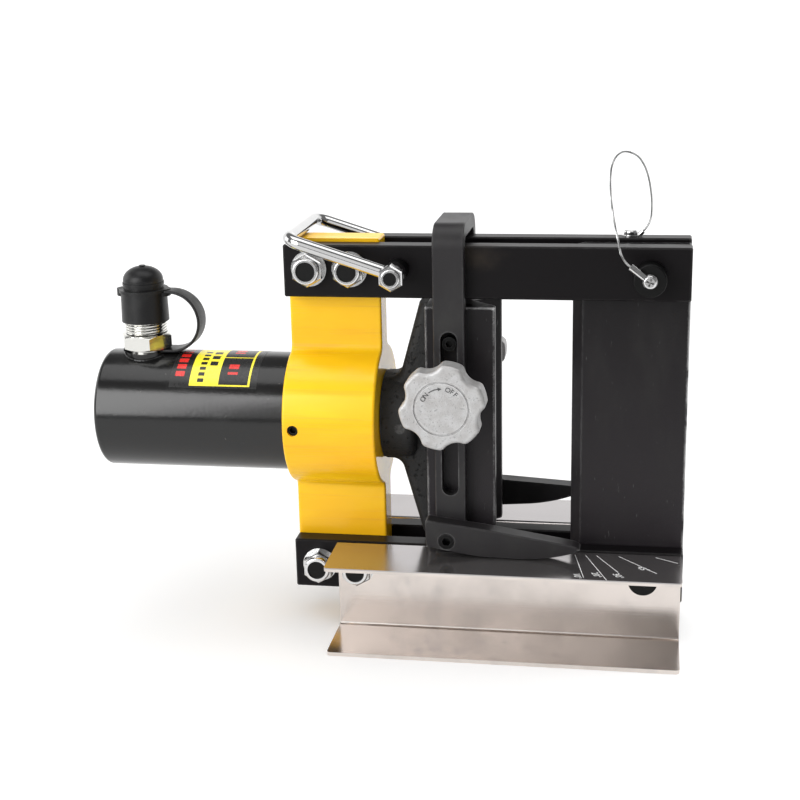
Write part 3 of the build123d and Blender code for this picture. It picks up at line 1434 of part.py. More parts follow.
wire_end = (pin_x + eye_crimp * eye_c, -crimp_y, pin_z + eye_crimp * eye_s)
wire_start = anchor_crimp_plane.origin + anchor_crimp * anchor_crimp_plane.z_dir
wire_first = wire_start + 6.2 * anchor_crimp_plane.z_dir
wire_route = [
    (wire_start.X, wire_start.Y, wire_start.Z),
    (wire_first.X, wire_first.Y, wire_first.Z),
    (pin_x + 0.1, anchor_y - 2.5, roof_z + 19.9),
    (pin_x - 1.2, anchor_y - 5.1, roof_z + 31.6),
    (pin_x - 3.9, anchor_y - 8.9, roof_z + 42.8),
    (pin_x - 9.4, anchor_y - 13.6, roof_z + 51.8),
    (pin_x - 19.0, anchor_y - 21.5, roof_z + 55.0),
    (pin_x - 24.3, anchor_y - 28.9, roof_z + 48.0),
    (pin_x - 24.6, anchor_y - 34.7, roof_z + 37.0),
    (pin_x - 23.6, anchor_y - 39.6, roof_z + 27.0),
    (pin_x - 21.6, anchor_y - 44.2, roof_z + 15.9),
    (pin_x - 18.9, anchor_y - 49.2, roof_z + 5.6),
    (wire_end[0] + 6.4 * eye_c, wire_end[1], wire_end[2] + 6.4 * eye_s),
    wire_end,
]
wire_points = [Vector(*p) for p in wire_route]
wire_runs = [b - a for a, b in zip(wire_points, wire_points[1:])]
wire_radii = []
for before, after in zip(wire_runs, wire_runs[1:]):
    half_turn = radians(before.get_angle(after)) / 2
    wire_radii.append(wire_corner * min(before.length, after.length) / tan(half_turn))
with BuildPart() as lanyard_cable:
    with BuildLine() as wire_path:
        FilletPolyline(*wire_points, radius=wire_radii)
    with BuildSketch(Plane(wire_path.line @ 0, z_dir=wire_path.line % 0)):
        Circle(wire_dia / 2)
    sweep()
lanyard_cable.part.label = "lanyard_cable"
export_step(lanyard_cable.part, "parts/lanyard_cable.step")

wire_length = sum(edge.length for edge in wire_path.edges())
print("lanyard radii", [round(radius, 1) for radius in wire_radii])
print("lanyard length", round(wire_length, 1))
print("lanyard volume", round(lanyard_cable.part.volume, 2), round(pi * wire_dia**2 / 4 * wire_length, 2))
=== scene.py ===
import json
import math

import bmesh
import bpy
from mathutils import Matrix, Vector


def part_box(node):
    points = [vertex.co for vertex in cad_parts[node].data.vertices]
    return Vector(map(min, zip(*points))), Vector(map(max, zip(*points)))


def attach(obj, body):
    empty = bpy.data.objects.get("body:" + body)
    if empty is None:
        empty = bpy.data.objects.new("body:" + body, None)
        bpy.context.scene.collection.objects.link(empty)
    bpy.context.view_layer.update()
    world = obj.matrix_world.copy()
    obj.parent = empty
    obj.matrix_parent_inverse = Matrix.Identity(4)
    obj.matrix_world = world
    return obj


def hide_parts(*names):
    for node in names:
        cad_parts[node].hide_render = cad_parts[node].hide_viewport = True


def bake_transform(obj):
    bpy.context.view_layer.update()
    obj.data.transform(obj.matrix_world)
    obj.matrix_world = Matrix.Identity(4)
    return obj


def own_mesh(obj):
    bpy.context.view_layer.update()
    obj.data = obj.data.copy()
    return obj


bl_info = {
    "name": "Hydraulic Bar Bender",
    "version": (1, 0, 0),
    "blender": (4, 5, 0),
    "location": "3D View > Sidebar > Bar Bender",
    "description": "Finishes and fittings of a hydraulic bar bender on its CAD frame",
    "category": "Object",
}

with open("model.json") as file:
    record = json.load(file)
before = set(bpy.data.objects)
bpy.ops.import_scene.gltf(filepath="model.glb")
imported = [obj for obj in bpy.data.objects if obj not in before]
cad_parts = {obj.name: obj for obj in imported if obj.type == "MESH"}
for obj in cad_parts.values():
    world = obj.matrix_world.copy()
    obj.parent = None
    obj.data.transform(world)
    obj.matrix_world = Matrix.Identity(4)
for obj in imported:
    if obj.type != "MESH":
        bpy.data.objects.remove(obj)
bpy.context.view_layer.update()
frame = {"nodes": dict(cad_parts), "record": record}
MM = 0.001
X_AXIS = Vector((1, 0, 0))
Y_AXIS = Vector((0, 1, 0))
Z_AXIS = Vector((0, 0, 1))
OCCLUSION_SAMPLES = 6


def centre(node):
    """The middle of a CAD node's box."""
    low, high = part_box(node)
    return low.lerp(high, 0.5)


# Places read from the frame
BORE = centre("piston")
TUBE_LOW, TUBE_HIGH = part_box("cylinder_tube")
TUBE_RADIUS = (TUBE_HIGH.y - TUBE_LOW.y) / 2
BOSS_TOP = TUBE_HIGH.z
PORT_X = centre("dust_cap").x
COUPLER_LOW, COUPLER_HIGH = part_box("coupler_body")
TETHER_LOW, TETHER_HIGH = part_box("dust_cap_tether")
TABLE_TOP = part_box("front_table")[1].z
HEAD_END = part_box("cylinder_head")[1].x
RAM_SPRING_LOW, RAM_SPRING_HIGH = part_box("return_spring")
VALVE_SPRING_LOW, VALVE_SPRING_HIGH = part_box("coupler_spring")
FRONT_STUD = centre("front_knob_stud")
REAR_STUD = centre("rear_knob_stud")
FRONT_KNOB_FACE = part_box("front_knob")[0].y
REAR_KNOB_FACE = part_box("rear_knob")[1].y
ROOF_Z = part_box("rear_top_beam")[1].z

# The lanyard's route, from the ring on the rear beam to the crimp on the pin
LANYARD_ROUTE = [
    (0.156721, 0.01625, 0.254771),
    (0.161105, 0.01625, 0.259155),
    (0.1618, 0.01375, 0.2714),
    (0.1605, 0.01115, 0.2831),
    (0.1578, 0.00735, 0.2943),
    (0.1523, 0.00265, 0.3033),
    (0.1427, -0.00525, 0.3065),
    (0.1374, -0.01265, 0.2995),
    (0.1371, -0.01845, 0.2885),
    (0.1381, -0.02335, 0.2785),
    (0.1401, -0.02795, 0.2674),
    (0.1428, -0.03295, 0.2571),
    (0.145073, -0.0397, 0.247240),
    (0.150116, -0.0397, 0.243300),
]

# Lines of the angle scale on the front table: two ends in x and y, the number beside it and its place
SCALE_LINES = [
    ((0.1197, -0.0300), (0.1267, -0.0662), "10°", (0.1227, -0.0640)),
    ((0.1262, -0.0301), (0.1404, -0.0684), "20°", (0.1339, -0.0611)),
    ((0.1331, -0.0302), (0.1469, -0.0556), "30°", (0.1470, -0.0612)),
    ((0.1467, -0.0300), (0.1700, -0.0552), "45°", (0.1617, -0.0486)),
    ((0.1693, -0.0295), (0.1826, -0.0372), "", None),
]

# Blocks printed on the label: ends along the tube in millimetres, ends round it in degrees
LABEL_GROUND = [(1, 58, -40, 54)]
LABEL_YELLOW = [(14, 33, -40, 52), (33, 53.4, 50.4, 52), (52, 53.4, -40, 50.4), (33, 52, 14, 15.2)]
LABEL_RED = [(4, 10, 36 - 9 * i, 42 - 9 * i) for i in range(6)]
LABEL_RED += [(38, 44.5, 36, 39), (38, 44.5, 26, 32), (38, 44.5, 2, 5), (38, 44.5, -7, -1)]
LABEL_BARS = [(19, 23, 44 - 7 * i, 48 - 7 * i) for i in range(7)]
LABEL_BARS += [(25, 30, 22 - 10 * i, 28 - 10 * i) for i in range(3)]

# Radius of the oil's way through the coupler
OIL_WAY = 3.0 * MM

# Letters cast round each knob, with the angle of each from the right
KNOB_LETTERS = [("O", 152), ("N", 139.5), ("O", 71), ("F", 58.5), ("F", 46.5)]


class BenderFinishes(bpy.types.PropertyGroup):
    """Colours of the machine's finishes"""

    yellow: bpy.props.FloatVectorProperty(
        name="Head Yellow", description="Gloss paint of the cylinder head",
        subtype="COLOR", size=4, min=0, max=1, default=(0.87, 0.46, 0.007, 1),
    )
    lemon: bpy.props.FloatVectorProperty(
        name="Head Lemon", description="Lighter drifts in the head's paint",
        subtype="COLOR", size=4, min=0, max=1, default=(0.92, 0.56, 0.010, 1),
    )
    amber: bpy.props.FloatVectorProperty(
        name="Head Amber", description="Streaks where the head's paint is thin",
        subtype="COLOR", size=4, min=0, max=1, default=(0.66, 0.30, 0.006, 1),
    )
    black: bpy.props.FloatVectorProperty(
        name="Beam Black", description="Satin paint of the beams",
        subtype="COLOR", size=4, min=0, max=1, default=(0.0052, 0.0044, 0.0050, 1),
    )
    scuff: bpy.props.FloatVectorProperty(
        name="Scuff", description="Dull brown rubs on the black paint",
        subtype="COLOR", size=4, min=0, max=1, default=(0.022, 0.017, 0.013, 1),
    )
    die_head: bpy.props.FloatVectorProperty(
        name="Die Head", description="Blackened steel at the top of the dies",
        subtype="COLOR", size=4, min=0, max=1, default=(0.0033, 0.0027, 0.0032, 1),
    )
    die_foot: bpy.props.FloatVectorProperty(
        name="Die Foot", description="Paler blackening at the foot of the dies",
        subtype="COLOR", size=4, min=0, max=1, default=(0.020, 0.017, 0.0195, 1),
    )
    strap: bpy.props.FloatVectorProperty(
        name="Strap Grey", description="Satin grey of the bar rest",
        subtype="COLOR", size=4, min=0, max=1, default=(0.0138, 0.0124, 0.0136, 1),
    )
    aluminium: bpy.props.FloatVectorProperty(
        name="Cast Aluminium", description="Sand cast clamp knobs",
        subtype="COLOR", size=4, min=0, max=1, default=(0.42, 0.41, 0.405, 1),
    )
    nickel: bpy.props.FloatVectorProperty(
        name="Nickel Plate", description="Mirror plate of the folded tables",
        subtype="COLOR", size=4, min=0, max=1, default=(0.74, 0.68, 0.64, 1),
    )
    film: bpy.props.FloatVectorProperty(
        name="Table Film", description="Dull film on the tables' tops, and their smudges",
        subtype="COLOR", size=4, min=0, max=1, default=(0.42, 0.40, 0.40, 1),
    )
    bronze: bpy.props.FloatVectorProperty(
        name="Bush Bronze", description="Guide bush of the ram",
        subtype="COLOR", size=4, min=0, max=1, default=(0.60, 0.38, 0.14, 1),
    )
    olive: bpy.props.FloatVectorProperty(
        name="Coupler Zinc", description="Pale plate of the hose coupler",
        subtype="COLOR", size=4, min=0, max=1, default=(0.74, 0.735, 0.70, 1),
    )
    rubber: bpy.props.FloatVectorProperty(
        name="Cap Rubber", description="Dust cap and its tether",
        subtype="COLOR", size=4, min=0, max=1, default=(0.0055, 0.0055, 0.006, 1),
    )
    print_yellow: bpy.props.FloatVectorProperty(
        name="Label Yellow", description="Yellow blocks of the label",
        subtype="COLOR", size=4, min=0, max=1, default=(0.86, 0.74, 0.04, 1),
    )
    print_red: bpy.props.FloatVectorProperty(
        name="Label Red", description="Red bars of the label",
        subtype="COLOR", size=4, min=0, max=1, default=(0.62, 0.02, 0.015, 1),
    )


class BenderSizes(bpy.types.PropertyGroup):
    """Sizes of the fittings that are added to the frame"""

    wire_diameter: bpy.props.FloatProperty(
        name="Lanyard Diameter", description="Outside of the twisted lanyard wire",
        unit="LENGTH", default=1.2 * MM,
    )
    wire_lay: bpy.props.FloatProperty(
        name="Lanyard Lay", description="Length of one turn of the wire's strands",
        unit="LENGTH", default=9.0 * MM,
    )
    hex_flats: bpy.props.FloatProperty(
        name="Coupler Flats", description="Width of the coupler's hexagon across its flats",
        unit="LENGTH", default=30.0 * MM,
    )
    hex_height: bpy.props.FloatProperty(
        name="Coupler Hexagon", description="Height of the coupler's hexagon",
        unit="LENGTH", default=9.9 * MM,
    )
    hex_turn: bpy.props.FloatProperty(
        name="Coupler Turn", description="Turn of the coupler's hexagon",
        subtype="ANGLE", default=math.radians(-6.5),
    )
    thread_diameter: bpy.props.FloatProperty(
        name="Coupler Thread", description="Outside of the coupler's thread",
        unit="LENGTH", default=27.0 * MM,
    )
    thread_pitch: bpy.props.FloatProperty(
        name="Coupler Pitch", description="Pitch of the coupler's thread",
        unit="LENGTH", default=1.8 * MM,
    )
    coupler_bore: bpy.props.FloatProperty(
        name="Coupler Bore", description="Bore that the coupler's valve slides in",
        unit="LENGTH", default=17.0 * MM,
    )
    tether_band: bpy.props.FloatProperty(
        name="Tether Width", description="Width of the band that holds the dust cap",
        unit="LENGTH", default=15.0 * MM,
    )
    tether_sheet: bpy.props.FloatProperty(
        name="Tether Thickness", description="Thickness of the band and its ring",
        unit="LENGTH", default=1.8 * MM,
    )
    ram_coils: bpy.props.FloatProperty(
        name="Return Coils", description="Turns of the ram's return spring", default=6.0,
    )
    ram_wire: bpy.props.FloatProperty(
        name="Return Wire", description="Thickness of the return spring's wire",
        unit="LENGTH", default=4.0 * MM,
    )
    valve_coils: bpy.props.FloatProperty(
        name="Valve Coils", description="Turns of the coupler valve's spring", default=6.5,
    )
    valve_wire: bpy.props.FloatProperty(
        name="Valve Wire", description="Thickness of the valve spring's wire",
        unit="LENGTH", default=1.4 * MM,
    )
    letter_height: bpy.props.FloatProperty(
        name="Letter Height", description="Height of the letters cast on the knobs",
        unit="LENGTH", default=2.9 * MM,
    )
    number_height: bpy.props.FloatProperty(
        name="Number Height", description="Height of the scale's numbers",
        unit="LENGTH", default=4.3 * MM,
    )
    label_start: bpy.props.FloatProperty(
        name="Label Place", description="Where the label begins along the cylinder",
        unit="LENGTH", default=-137.9 * MM,
    )


class BenderStage(bpy.types.PropertyGroup):
    """Camera, floor and light"""

    camera_place: bpy.props.FloatVectorProperty(
        name="Camera", description="Where the camera stands",
        subtype="TRANSLATION", size=3, default=(0.1622, -0.9088, 0.4134),
    )
    azimuth: bpy.props.FloatProperty(
        name="Azimuth", description="Turn of the camera to the right of the front",
        subtype="ANGLE", default=math.radians(9.75),
    )
    elevation: bpy.props.FloatProperty(
        name="Elevation", description="Height of the camera above the horizon",
        subtype="ANGLE", default=math.radians(16.07),
    )
    roll: bpy.props.FloatProperty(
        name="Roll", description="Turn of the picture about the view",
        subtype="ANGLE", default=math.radians(-1.27),
    )
    lens: bpy.props.FloatProperty(
        name="Lens", description="Focal length on a 36 mm sensor, in millimetres", default=67.66,
    )
    room: bpy.props.FloatProperty(
        name="Room", description="Brightness of the dim room round the machine", default=0.22,
    )
    sweep: bpy.props.FloatProperty(
        name="Sweep", description="Brightness of the white sweep behind the machine", default=1.3,
    )
    floor_glow: bpy.props.FloatProperty(
        name="Floor Glow", description="Glow of the burnt-out white floor", default=0.28,
    )
    floor_light: bpy.props.FloatProperty(
        name="Floor Light", description="Strength of the soft light that keeps the floor white", default=2.5,
    )
    front_power: bpy.props.FloatProperty(
        name="Front Box", description="Power of the soft box at the front left", unit="POWER", default=23.5,
    )
    fill_power: bpy.props.FloatProperty(
        name="Fill Box", description="Power of the dim panel beside the front box", unit="POWER", default=2.1,
    )
    top_power: bpy.props.FloatProperty(
        name="Top Box", description="Power of the soft box overhead", unit="POWER", default=9.0,
    )
    soft_power: bpy.props.FloatProperty(
        name="Soft Top", description="Power of the light overhead that leaves no highlight",
        unit="POWER", default=14.0,
    )
    side_power: bpy.props.FloatProperty(
        name="Side Box", description="Power of the soft box at the left", unit="POWER", default=5.0,
    )


# Shader node helpers

def socket_name(word):
    """A socket's own name, from its keyword."""
    return word.replace("_", " ").title().replace("Ior", "IOR")


def feed(tree, socket, value):
    """Give a socket its plain value, or link a node's output to it."""
    if isinstance(value, bpy.types.NodeSocket):
        tree.links.new(value, socket)
    else:
        socket.default_value = value


def add_node(tree, kind, inputs=None, **options):
    """A node of that kind with its options set and its sockets fed."""
    node = tree.nodes.new(kind)
    for option, value in options.items():
        setattr(node, option, value)
    for socket, value in (inputs or {}).items():
        feed(tree, node.inputs[socket], value)
    return node


def object_points(tree):
    """The surface's own coordinates, in metres."""
    return add_node(tree, "ShaderNodeTexCoord").outputs["Object"]


def combine(tree, operation, first, second, clamp=False):
    """Two values worked into one."""
    node = add_node(tree, "ShaderNodeMath", {0: first, 1: second}, operation=operation, use_clamp=clamp)
    return node.outputs[0]


def ramp(tree, value, start, end, smooth=False):
    """A mask that goes from 0 where the value is start to 1 where it is end."""
    node = add_node(
        tree, "ShaderNodeMapRange", {"Value": value, "From Min": start, "From Max": end},
        interpolation_type="SMOOTHSTEP" if smooth else "LINEAR",
    )
    return node.outputs["Result"]


def band_mask(tree, axis, start, end):
    """A mask that goes from 0 at start to 1 at end along one of the surface's own axes."""
    place = add_node(tree, "ShaderNodeSeparateXYZ", {0: object_points(tree)})
    return ramp(tree, place.outputs[axis], start, end)


def noise(tree, points, scale, detail, roughness):
    """Noise over the points."""
    node = add_node(
        tree, "ShaderNodeTexNoise",
        {"Vector": points, "Scale": scale, "Detail": detail, "Roughness": roughness},
    )
    return node.outputs["Fac"]


def mix_colours(tree, mask, first, second):
    """A colour that goes from first to second with the mask."""
    return add_node(tree, "ShaderNodeMix", {0: mask, 6: first, 7: second}, data_type="RGBA").outputs[2]


def mix_values(tree, mask, low, high):
    """A value that goes from low to high with the mask."""
    node = add_node(tree, "ShaderNodeMapRange", {"Value": mask, "To Min": low, "To Max": high})
    return node.outputs["Result"]


def grey(level, warm=0.0):
    """A near-neutral colour."""
    return (level * (1 + warm), level, level * (1 - warm), 1.0)


def scaled_colour(colour, factor, lift=0.0):
    """A colour made darker or brighter, and lifted evenly."""
    return tuple(min(1.0, c * factor + lift) for c in colour[:3]) + (1.0,)


# Effects that the finishes share

def group_tree(name, inputs, outputs):
    """A new shader node group with its named sockets, as the nodes inside it see them."""
    tree = bpy.data.node_groups.new(name, "ShaderNodeTree")
    for socket, value in inputs.items():
        kind = "NodeSocketVector" if isinstance(value, tuple) else "NodeSocketFloat"
        made = tree.interface.new_socket(name=socket, in_out="INPUT", socket_type=kind)
        made.default_value = value
    for socket in outputs:
        tree.interface.new_socket(name=socket, in_out="OUTPUT", socket_type="NodeSocketFloat")
    source = tree.nodes.new("NodeGroupInput")
    result = tree.nodes.new("NodeGroupOutput")
    return tree, source.outputs, result.inputs


def build_drift_group():
    """Slow uneven drift of a finish, stretched along chosen axes."""
    tree, source, result = group_tree(
        "Finish Drift",
        {"Scale": (30.0, 30.0, 30.0), "Detail": 4.0, "Contrast Low": 0.35, "Contrast High": 0.65},
        ["Mask"],
    )
    stretched = add_node(
        tree, "ShaderNodeVectorMath", {0: object_points(tree), 1: source["Scale"]}, operation="MULTIPLY",
    )
    uneven = noise(tree, stretched.outputs[0], 1.0, source["Detail"], 0.55)
    mask = ramp(tree, uneven, source["Contrast Low"], source["Contrast High"], smooth=True)
    tree.links.new(mask, result["Mask"])
    return tree


def build_edge_group():
    """Mask of the outer edges of a piece, broken up in patches: rubbed edges on some finishes, a painted edge
    highlight on others.
    """
    tree, source, result = group_tree(
        "Edge Wear And Highlight", {"Width": 1.2 * MM, "Amount": 1.0, "Break Up": 160.0}, ["Mask"],
    )
    inside = add_node(
        tree, "ShaderNodeAmbientOcclusion", {"Distance": source["Width"]},
        inside=True, only_local=True, samples=OCCLUSION_SAMPLES,
    )
    edge = ramp(tree, inside.outputs["AO"], 0.78, 0.42)
    broken = ramp(tree, noise(tree, object_points(tree), source["Break Up"], 5.0, 0.7), 0.36, 0.58)
    mask = combine(tree, "MULTIPLY", combine(tree, "MULTIPLY", edge, broken), source["Amount"], clamp=True)
    tree.links.new(mask, result["Mask"])
    return tree


def build_grain_group():
    """Height and pits of a cast or moulded skin."""
    tree, source, result = group_tree(
        "Cast Grain", {"Grain Scale": 900.0, "Pit Scale": 420.0, "Pit Depth": 0.5}, ["Height", "Pits"],
    )
    points = object_points(tree)
    grain = noise(tree, points, source["Grain Scale"], 6.0, 0.62)
    pits = ramp(tree, noise(tree, points, source["Pit Scale"], 2.0, 0.5), 0.60, 0.72, smooth=True)
    deep = combine(tree, "MULTIPLY", pits, source["Pit Depth"])
    tree.links.new(combine(tree, "SUBTRACT", grain, deep), result["Height"])
    tree.links.new(pits, result["Pits"])
    return tree


def build_cavity_shade_group():
    """Mask of the painted shade that darkens slots, sockets and corners."""
    tree, source, result = group_tree("Cavity Shade", {"Reach": 1.0 * MM, "Amount": 1.0}, ["Mask"])
    outside = add_node(
        tree, "ShaderNodeAmbientOcclusion", {"Distance": source["Reach"]},
        only_local=True, samples=OCCLUSION_SAMPLES,
    )
    deep = ramp(tree, outside.outputs["AO"], 0.82, 0.40, smooth=True)
    tree.links.new(combine(tree, "MULTIPLY", deep, source["Amount"], clamp=True), result["Mask"])
    return tree


GROUP_MAKERS = {
    "cavity": build_cavity_shade_group,
    "drift": build_drift_group,
    "edge": build_edge_group,
    "grain": build_grain_group,
}
GROUPS = {}


def use_group(tree, key, **values):
    """The outputs of a shared effect, placed in a material with its own values."""
    if key not in GROUPS:
        GROUPS[key] = GROUP_MAKERS[key]()
    node = tree.nodes.new("ShaderNodeGroup")
    node.node_tree = GROUPS[key]
    for word, value in values.items():
        node.inputs[socket_name(word)].default_value = value
    return node.outputs


def drift_mask(tree, scale, detail, contrast):
    """Mask of a drift: its scale along each axis, its detail, and the levels between which it rises."""
    low, high = contrast
    drift = use_group(tree, "drift", scale=scale, detail=detail, contrast_low=low, contrast_high=high)
    return drift["Mask"]


def edge_wear_and_highlight_mask(tree, **values):
    """Mask of the outer edges: rubbed on some finishes, a painted edge highlight on others."""
    return use_group(tree, "edge", **values)["Mask"]


def cavity_shade_mask(tree, amount):
    """Mask of the painted shade in corners."""
    return use_group(tree, "cavity", reach=1.2 * MM, amount=amount)["Mask"]


def new_material(name, **plain):
    """A material with a Principled shader and its constant values, and its tree and shader."""
    material = bpy.data.materials.new(name)
    material.use_nodes = True
    tree = material.node_tree
    shader = tree.nodes["Principled BSDF"]
    for word, value in plain.items():
        shader.inputs[socket_name(word)].default_value = value
    return material, tree, shader


def dress(tree, shader, base, rough, height=None, depth=0.0):
    """Give the shader its colour and roughness, and a bump of that depth where there is a height."""
    tree.links.new(base, shader.inputs["Base Color"])
    tree.links.new(rough, shader.inputs["Roughness"])
    if height is not None:
        bump = add_node(tree, "ShaderNodeBump", {"Strength": 1.0, "Distance": depth, "Height": height})
        tree.links.new(bump.outputs["Normal"], shader.inputs["Normal"])


# Finishes

def finish_yellow_paint(colours):
    """Gloss yellow over a casting: brush streaks along the stroke, drifts of tone, a smooth faced end."""
    material, tree, shader = new_material(
        "yellow_paint", specular_ior_level=0.3, coat_weight=0.1, coat_roughness=0.12,
    )
    faced = band_mask(tree, "X", HEAD_END - 0.6 * MM, HEAD_END - 0.2 * MM)
    drift = drift_mask(tree, scale=(6, 14, 22), detail=3, contrast=(0.38, 0.66))
    streak = drift_mask(tree, scale=(9, 60, 420), detail=5, contrast=(0.52, 0.72))
    base = mix_colours(tree, drift, colours.yellow, colours.lemon)
    streaked = mix_colours(tree, mix_values(tree, streak, 0.0, 0.34), base, colours.amber)
    rough = mix_values(tree, streak, 0.26, 0.36)
    gloss = add_node(tree, "ShaderNodeMath", {0: faced, 1: -0.18, 2: rough}, operation="MULTIPLY_ADD")
    grain = use_group(tree, "grain", grain_scale=260.0, pit_scale=90.0, pit_depth=0.25)
    height = combine(tree, "MULTIPLY", grain["Height"], mix_values(tree, faced, 1.0, 0.0))
    dress(tree, shader, streaked, gloss.outputs[0], height, 0.03 * MM)
    return material


def finish_beam_black(colours):
    """Satin black paint with dull brown rubs, and outer edges greyed as rubbed paint and as a painted edge
    highlight.
    """
    material, tree, shader = new_material("beam_black", specular_ior_level=0.13)
    rub = drift_mask(tree, scale=(16, 60, 22), detail=7, contrast=(0.56, 0.78))
    # The grey outer edges are rubbed paint and a painted edge highlight
    edge_wear_and_highlight = edge_wear_and_highlight_mask(tree, width=1.8 * MM, amount=1.0, break_up=70.0)
    base = mix_colours(tree, rub, colours.black, colours.scuff)
    edged = mix_colours(tree, edge_wear_and_highlight, base, grey(0.11, 0.02))
    grain = use_group(tree, "grain", grain_scale=1400.0, pit_scale=500.0, pit_depth=0.3)
    dress(tree, shader, edged, mix_values(tree, rub, 0.36, 0.55), grain["Height"], 0.04 * MM)
    return material


def finish_cylinder_black():
    """Gloss black paint of the tube, lightly orange-peeled, with a few dust specks."""
    material, tree, shader = new_material("cylinder_black", specular_ior_level=0.5)
    drift = drift_mask(tree, scale=(40, 40, 40), detail=5, contrast=(0.52, 0.82))
    speck = drift_mask(tree, scale=(420, 420, 420), detail=2, contrast=(0.72, 0.78))
    base = mix_colours(tree, drift, grey(0.006), grey(0.010))
    dusty = mix_colours(tree, speck, base, grey(0.10, 0.06))
    grain = use_group(tree, "grain", grain_scale=380.0, pit_scale=160.0, pit_depth=0.15)
    dress(tree, shader, dusty, mix_values(tree, drift, 0.17, 0.22), grain["Height"], 0.05 * MM)
    return material


def finish_cast_black():
    """Rough black casting with open grain and rubbed edges."""
    material, tree, shader = new_material("cast_black", specular_ior_level=0.25)
    grain = use_group(tree, "grain", grain_scale=620.0, pit_scale=330.0, pit_depth=0.8)
    edge_wear_and_highlight = edge_wear_and_highlight_mask(tree, width=1.6 * MM, amount=0.5, break_up=240.0)
    base = mix_colours(tree, grain["Pits"], grey(0.016), grey(0.005))
    edged = mix_colours(tree, edge_wear_and_highlight, base, grey(0.12))
    dress(tree, shader, edged, mix_values(tree, grain["Height"], 0.62, 0.42), grain["Height"], 0.5 * MM)
    return material


def finish_die_black(colours):
    """Blackened steel, paler towards its foot, with upright scratches, and working edges made bright as
    rubbed steel and as a painted edge highlight.
    """
    material, tree, shader = new_material("die_black", specular_ior_level=0.22)
    foot = band_mask(tree, "Z", ROOF_Z, TABLE_TOP)
    drift = drift_mask(tree, scale=(70, 70, 18), detail=6, contrast=(0.42, 0.78))
    # The bright, partly metallic edges are rubbed steel and a painted edge highlight
    edge_wear_and_highlight = edge_wear_and_highlight_mask(tree, width=2.2 * MM, amount=1.9, break_up=60.0)
    scratch = drift_mask(tree, scale=(520, 520, 130), detail=2, contrast=(0.68, 0.79))
    skin_tone = mix_colours(tree, foot, colours.die_head, colours.die_foot)
    base = mix_colours(tree, mix_values(tree, drift, 0.0, 0.35), skin_tone, grey(0.022, 0.04))
    scratched = mix_colours(tree, scratch, base, grey(0.06))
    edged = mix_colours(tree, edge_wear_and_highlight, scratched, grey(0.55))
    tree.links.new(mix_values(tree, edge_wear_and_highlight, 0.0, 0.4), shader.inputs["Metallic"])
    grain = use_group(tree, "grain", grain_scale=1100.0, pit_scale=380.0, pit_depth=0.4)
    dress(tree, shader, edged, mix_values(tree, drift, 0.36, 0.52), grain["Height"], 0.08 * MM)
    return material


def finish_strap_grey(colours):
    """Satin dark grey of the bar rest, with a painted highlight along the edges."""
    material, tree, shader = new_material("strap_grey", specular_ior_level=0.32)
    drift = drift_mask(tree, scale=(45, 45, 30), detail=5, contrast=(0.4, 0.8))
    # Painted highlight: the edges are lightened for the light that they catch
    edge_wear_and_highlight = edge_wear_and_highlight_mask(tree, width=1.6 * MM, amount=0.8, break_up=90.0)
    base = mix_colours(tree, drift, colours.strap, grey(0.022, 0.03))
    edged = mix_colours(tree, edge_wear_and_highlight, base, grey(0.16))
    grain = use_group(tree, "grain", grain_scale=1600.0, pit_scale=600.0, pit_depth=0.3)
    dress(tree, shader, edged, mix_values(tree, drift, 0.40, 0.52), grain["Height"], 0.04 * MM)
    return material


def finish_cast_aluminium(colours):
    """Fine sand cast aluminium with small dark pits and bright rubbed edges."""
    material, tree, shader = new_material("cast_aluminium", metallic=0.65)
    grain = use_group(tree, "grain", grain_scale=1700.0, pit_scale=900.0, pit_depth=0.6)
    drift = drift_mask(tree, scale=(160, 160, 160), detail=4, contrast=(0.35, 0.7))
    edge_wear_and_highlight = edge_wear_and_highlight_mask(tree, width=2.2 * MM, amount=0.7, break_up=300.0)
    base = mix_colours(tree, drift, colours.aluminium, grey(0.50))
    pitted = mix_colours(tree, grain["Pits"], base, grey(0.34))
    edged = mix_colours(tree, edge_wear_and_highlight, pitted, grey(0.78))
    dress(tree, shader, edged, mix_values(tree, edge_wear_and_highlight, 0.50, 0.28), grain["Height"], 0.18 * MM)
    return material


def finish_plate(name, base_colour, roughness, cloud, stain=0.9, film=None):
    """Bright metal plate: a mirror with faint clouding, rolling marks and painted shade in its corners.

    With a film colour it is a table: smudged by hands, and dull on its top."""
    material, tree, shader = new_material(name, metallic=1.0)
    drift = drift_mask(tree, scale=(26, 26, 26), detail=5, contrast=(0.35, 0.75))
    rolled = drift_mask(tree, scale=(14, 700, 700), detail=4, contrast=(0.3, 0.8))
    base = mix_colours(tree, drift, base_colour, scaled_colour(base_colour, stain))
    if film is not None:
        smudge = drift_mask(tree, scale=(44, 44, 26), detail=3, contrast=(0.54, 0.78))
        base = mix_colours(tree, mix_values(tree, smudge, 0.0, 0.4), base, film)
        top = band_mask(tree, "Z", TABLE_TOP - 1.0 * MM, TABLE_TOP - 0.4 * MM)
        base = mix_colours(tree, top, base, film)
        tree.links.new(mix_values(tree, top, 1.0, 0.92), shader.inputs["Metallic"])
    # Painted shade: the plate is darkened in its corners and hollows
    cavity_shaded = mix_colours(tree, cavity_shade_mask(tree, 0.85), base, grey(0.05, 0.1))
    dress(tree, shader, cavity_shaded, mix_values(tree, drift, roughness, roughness + cloud), rolled, 0.006 * MM)
    return material


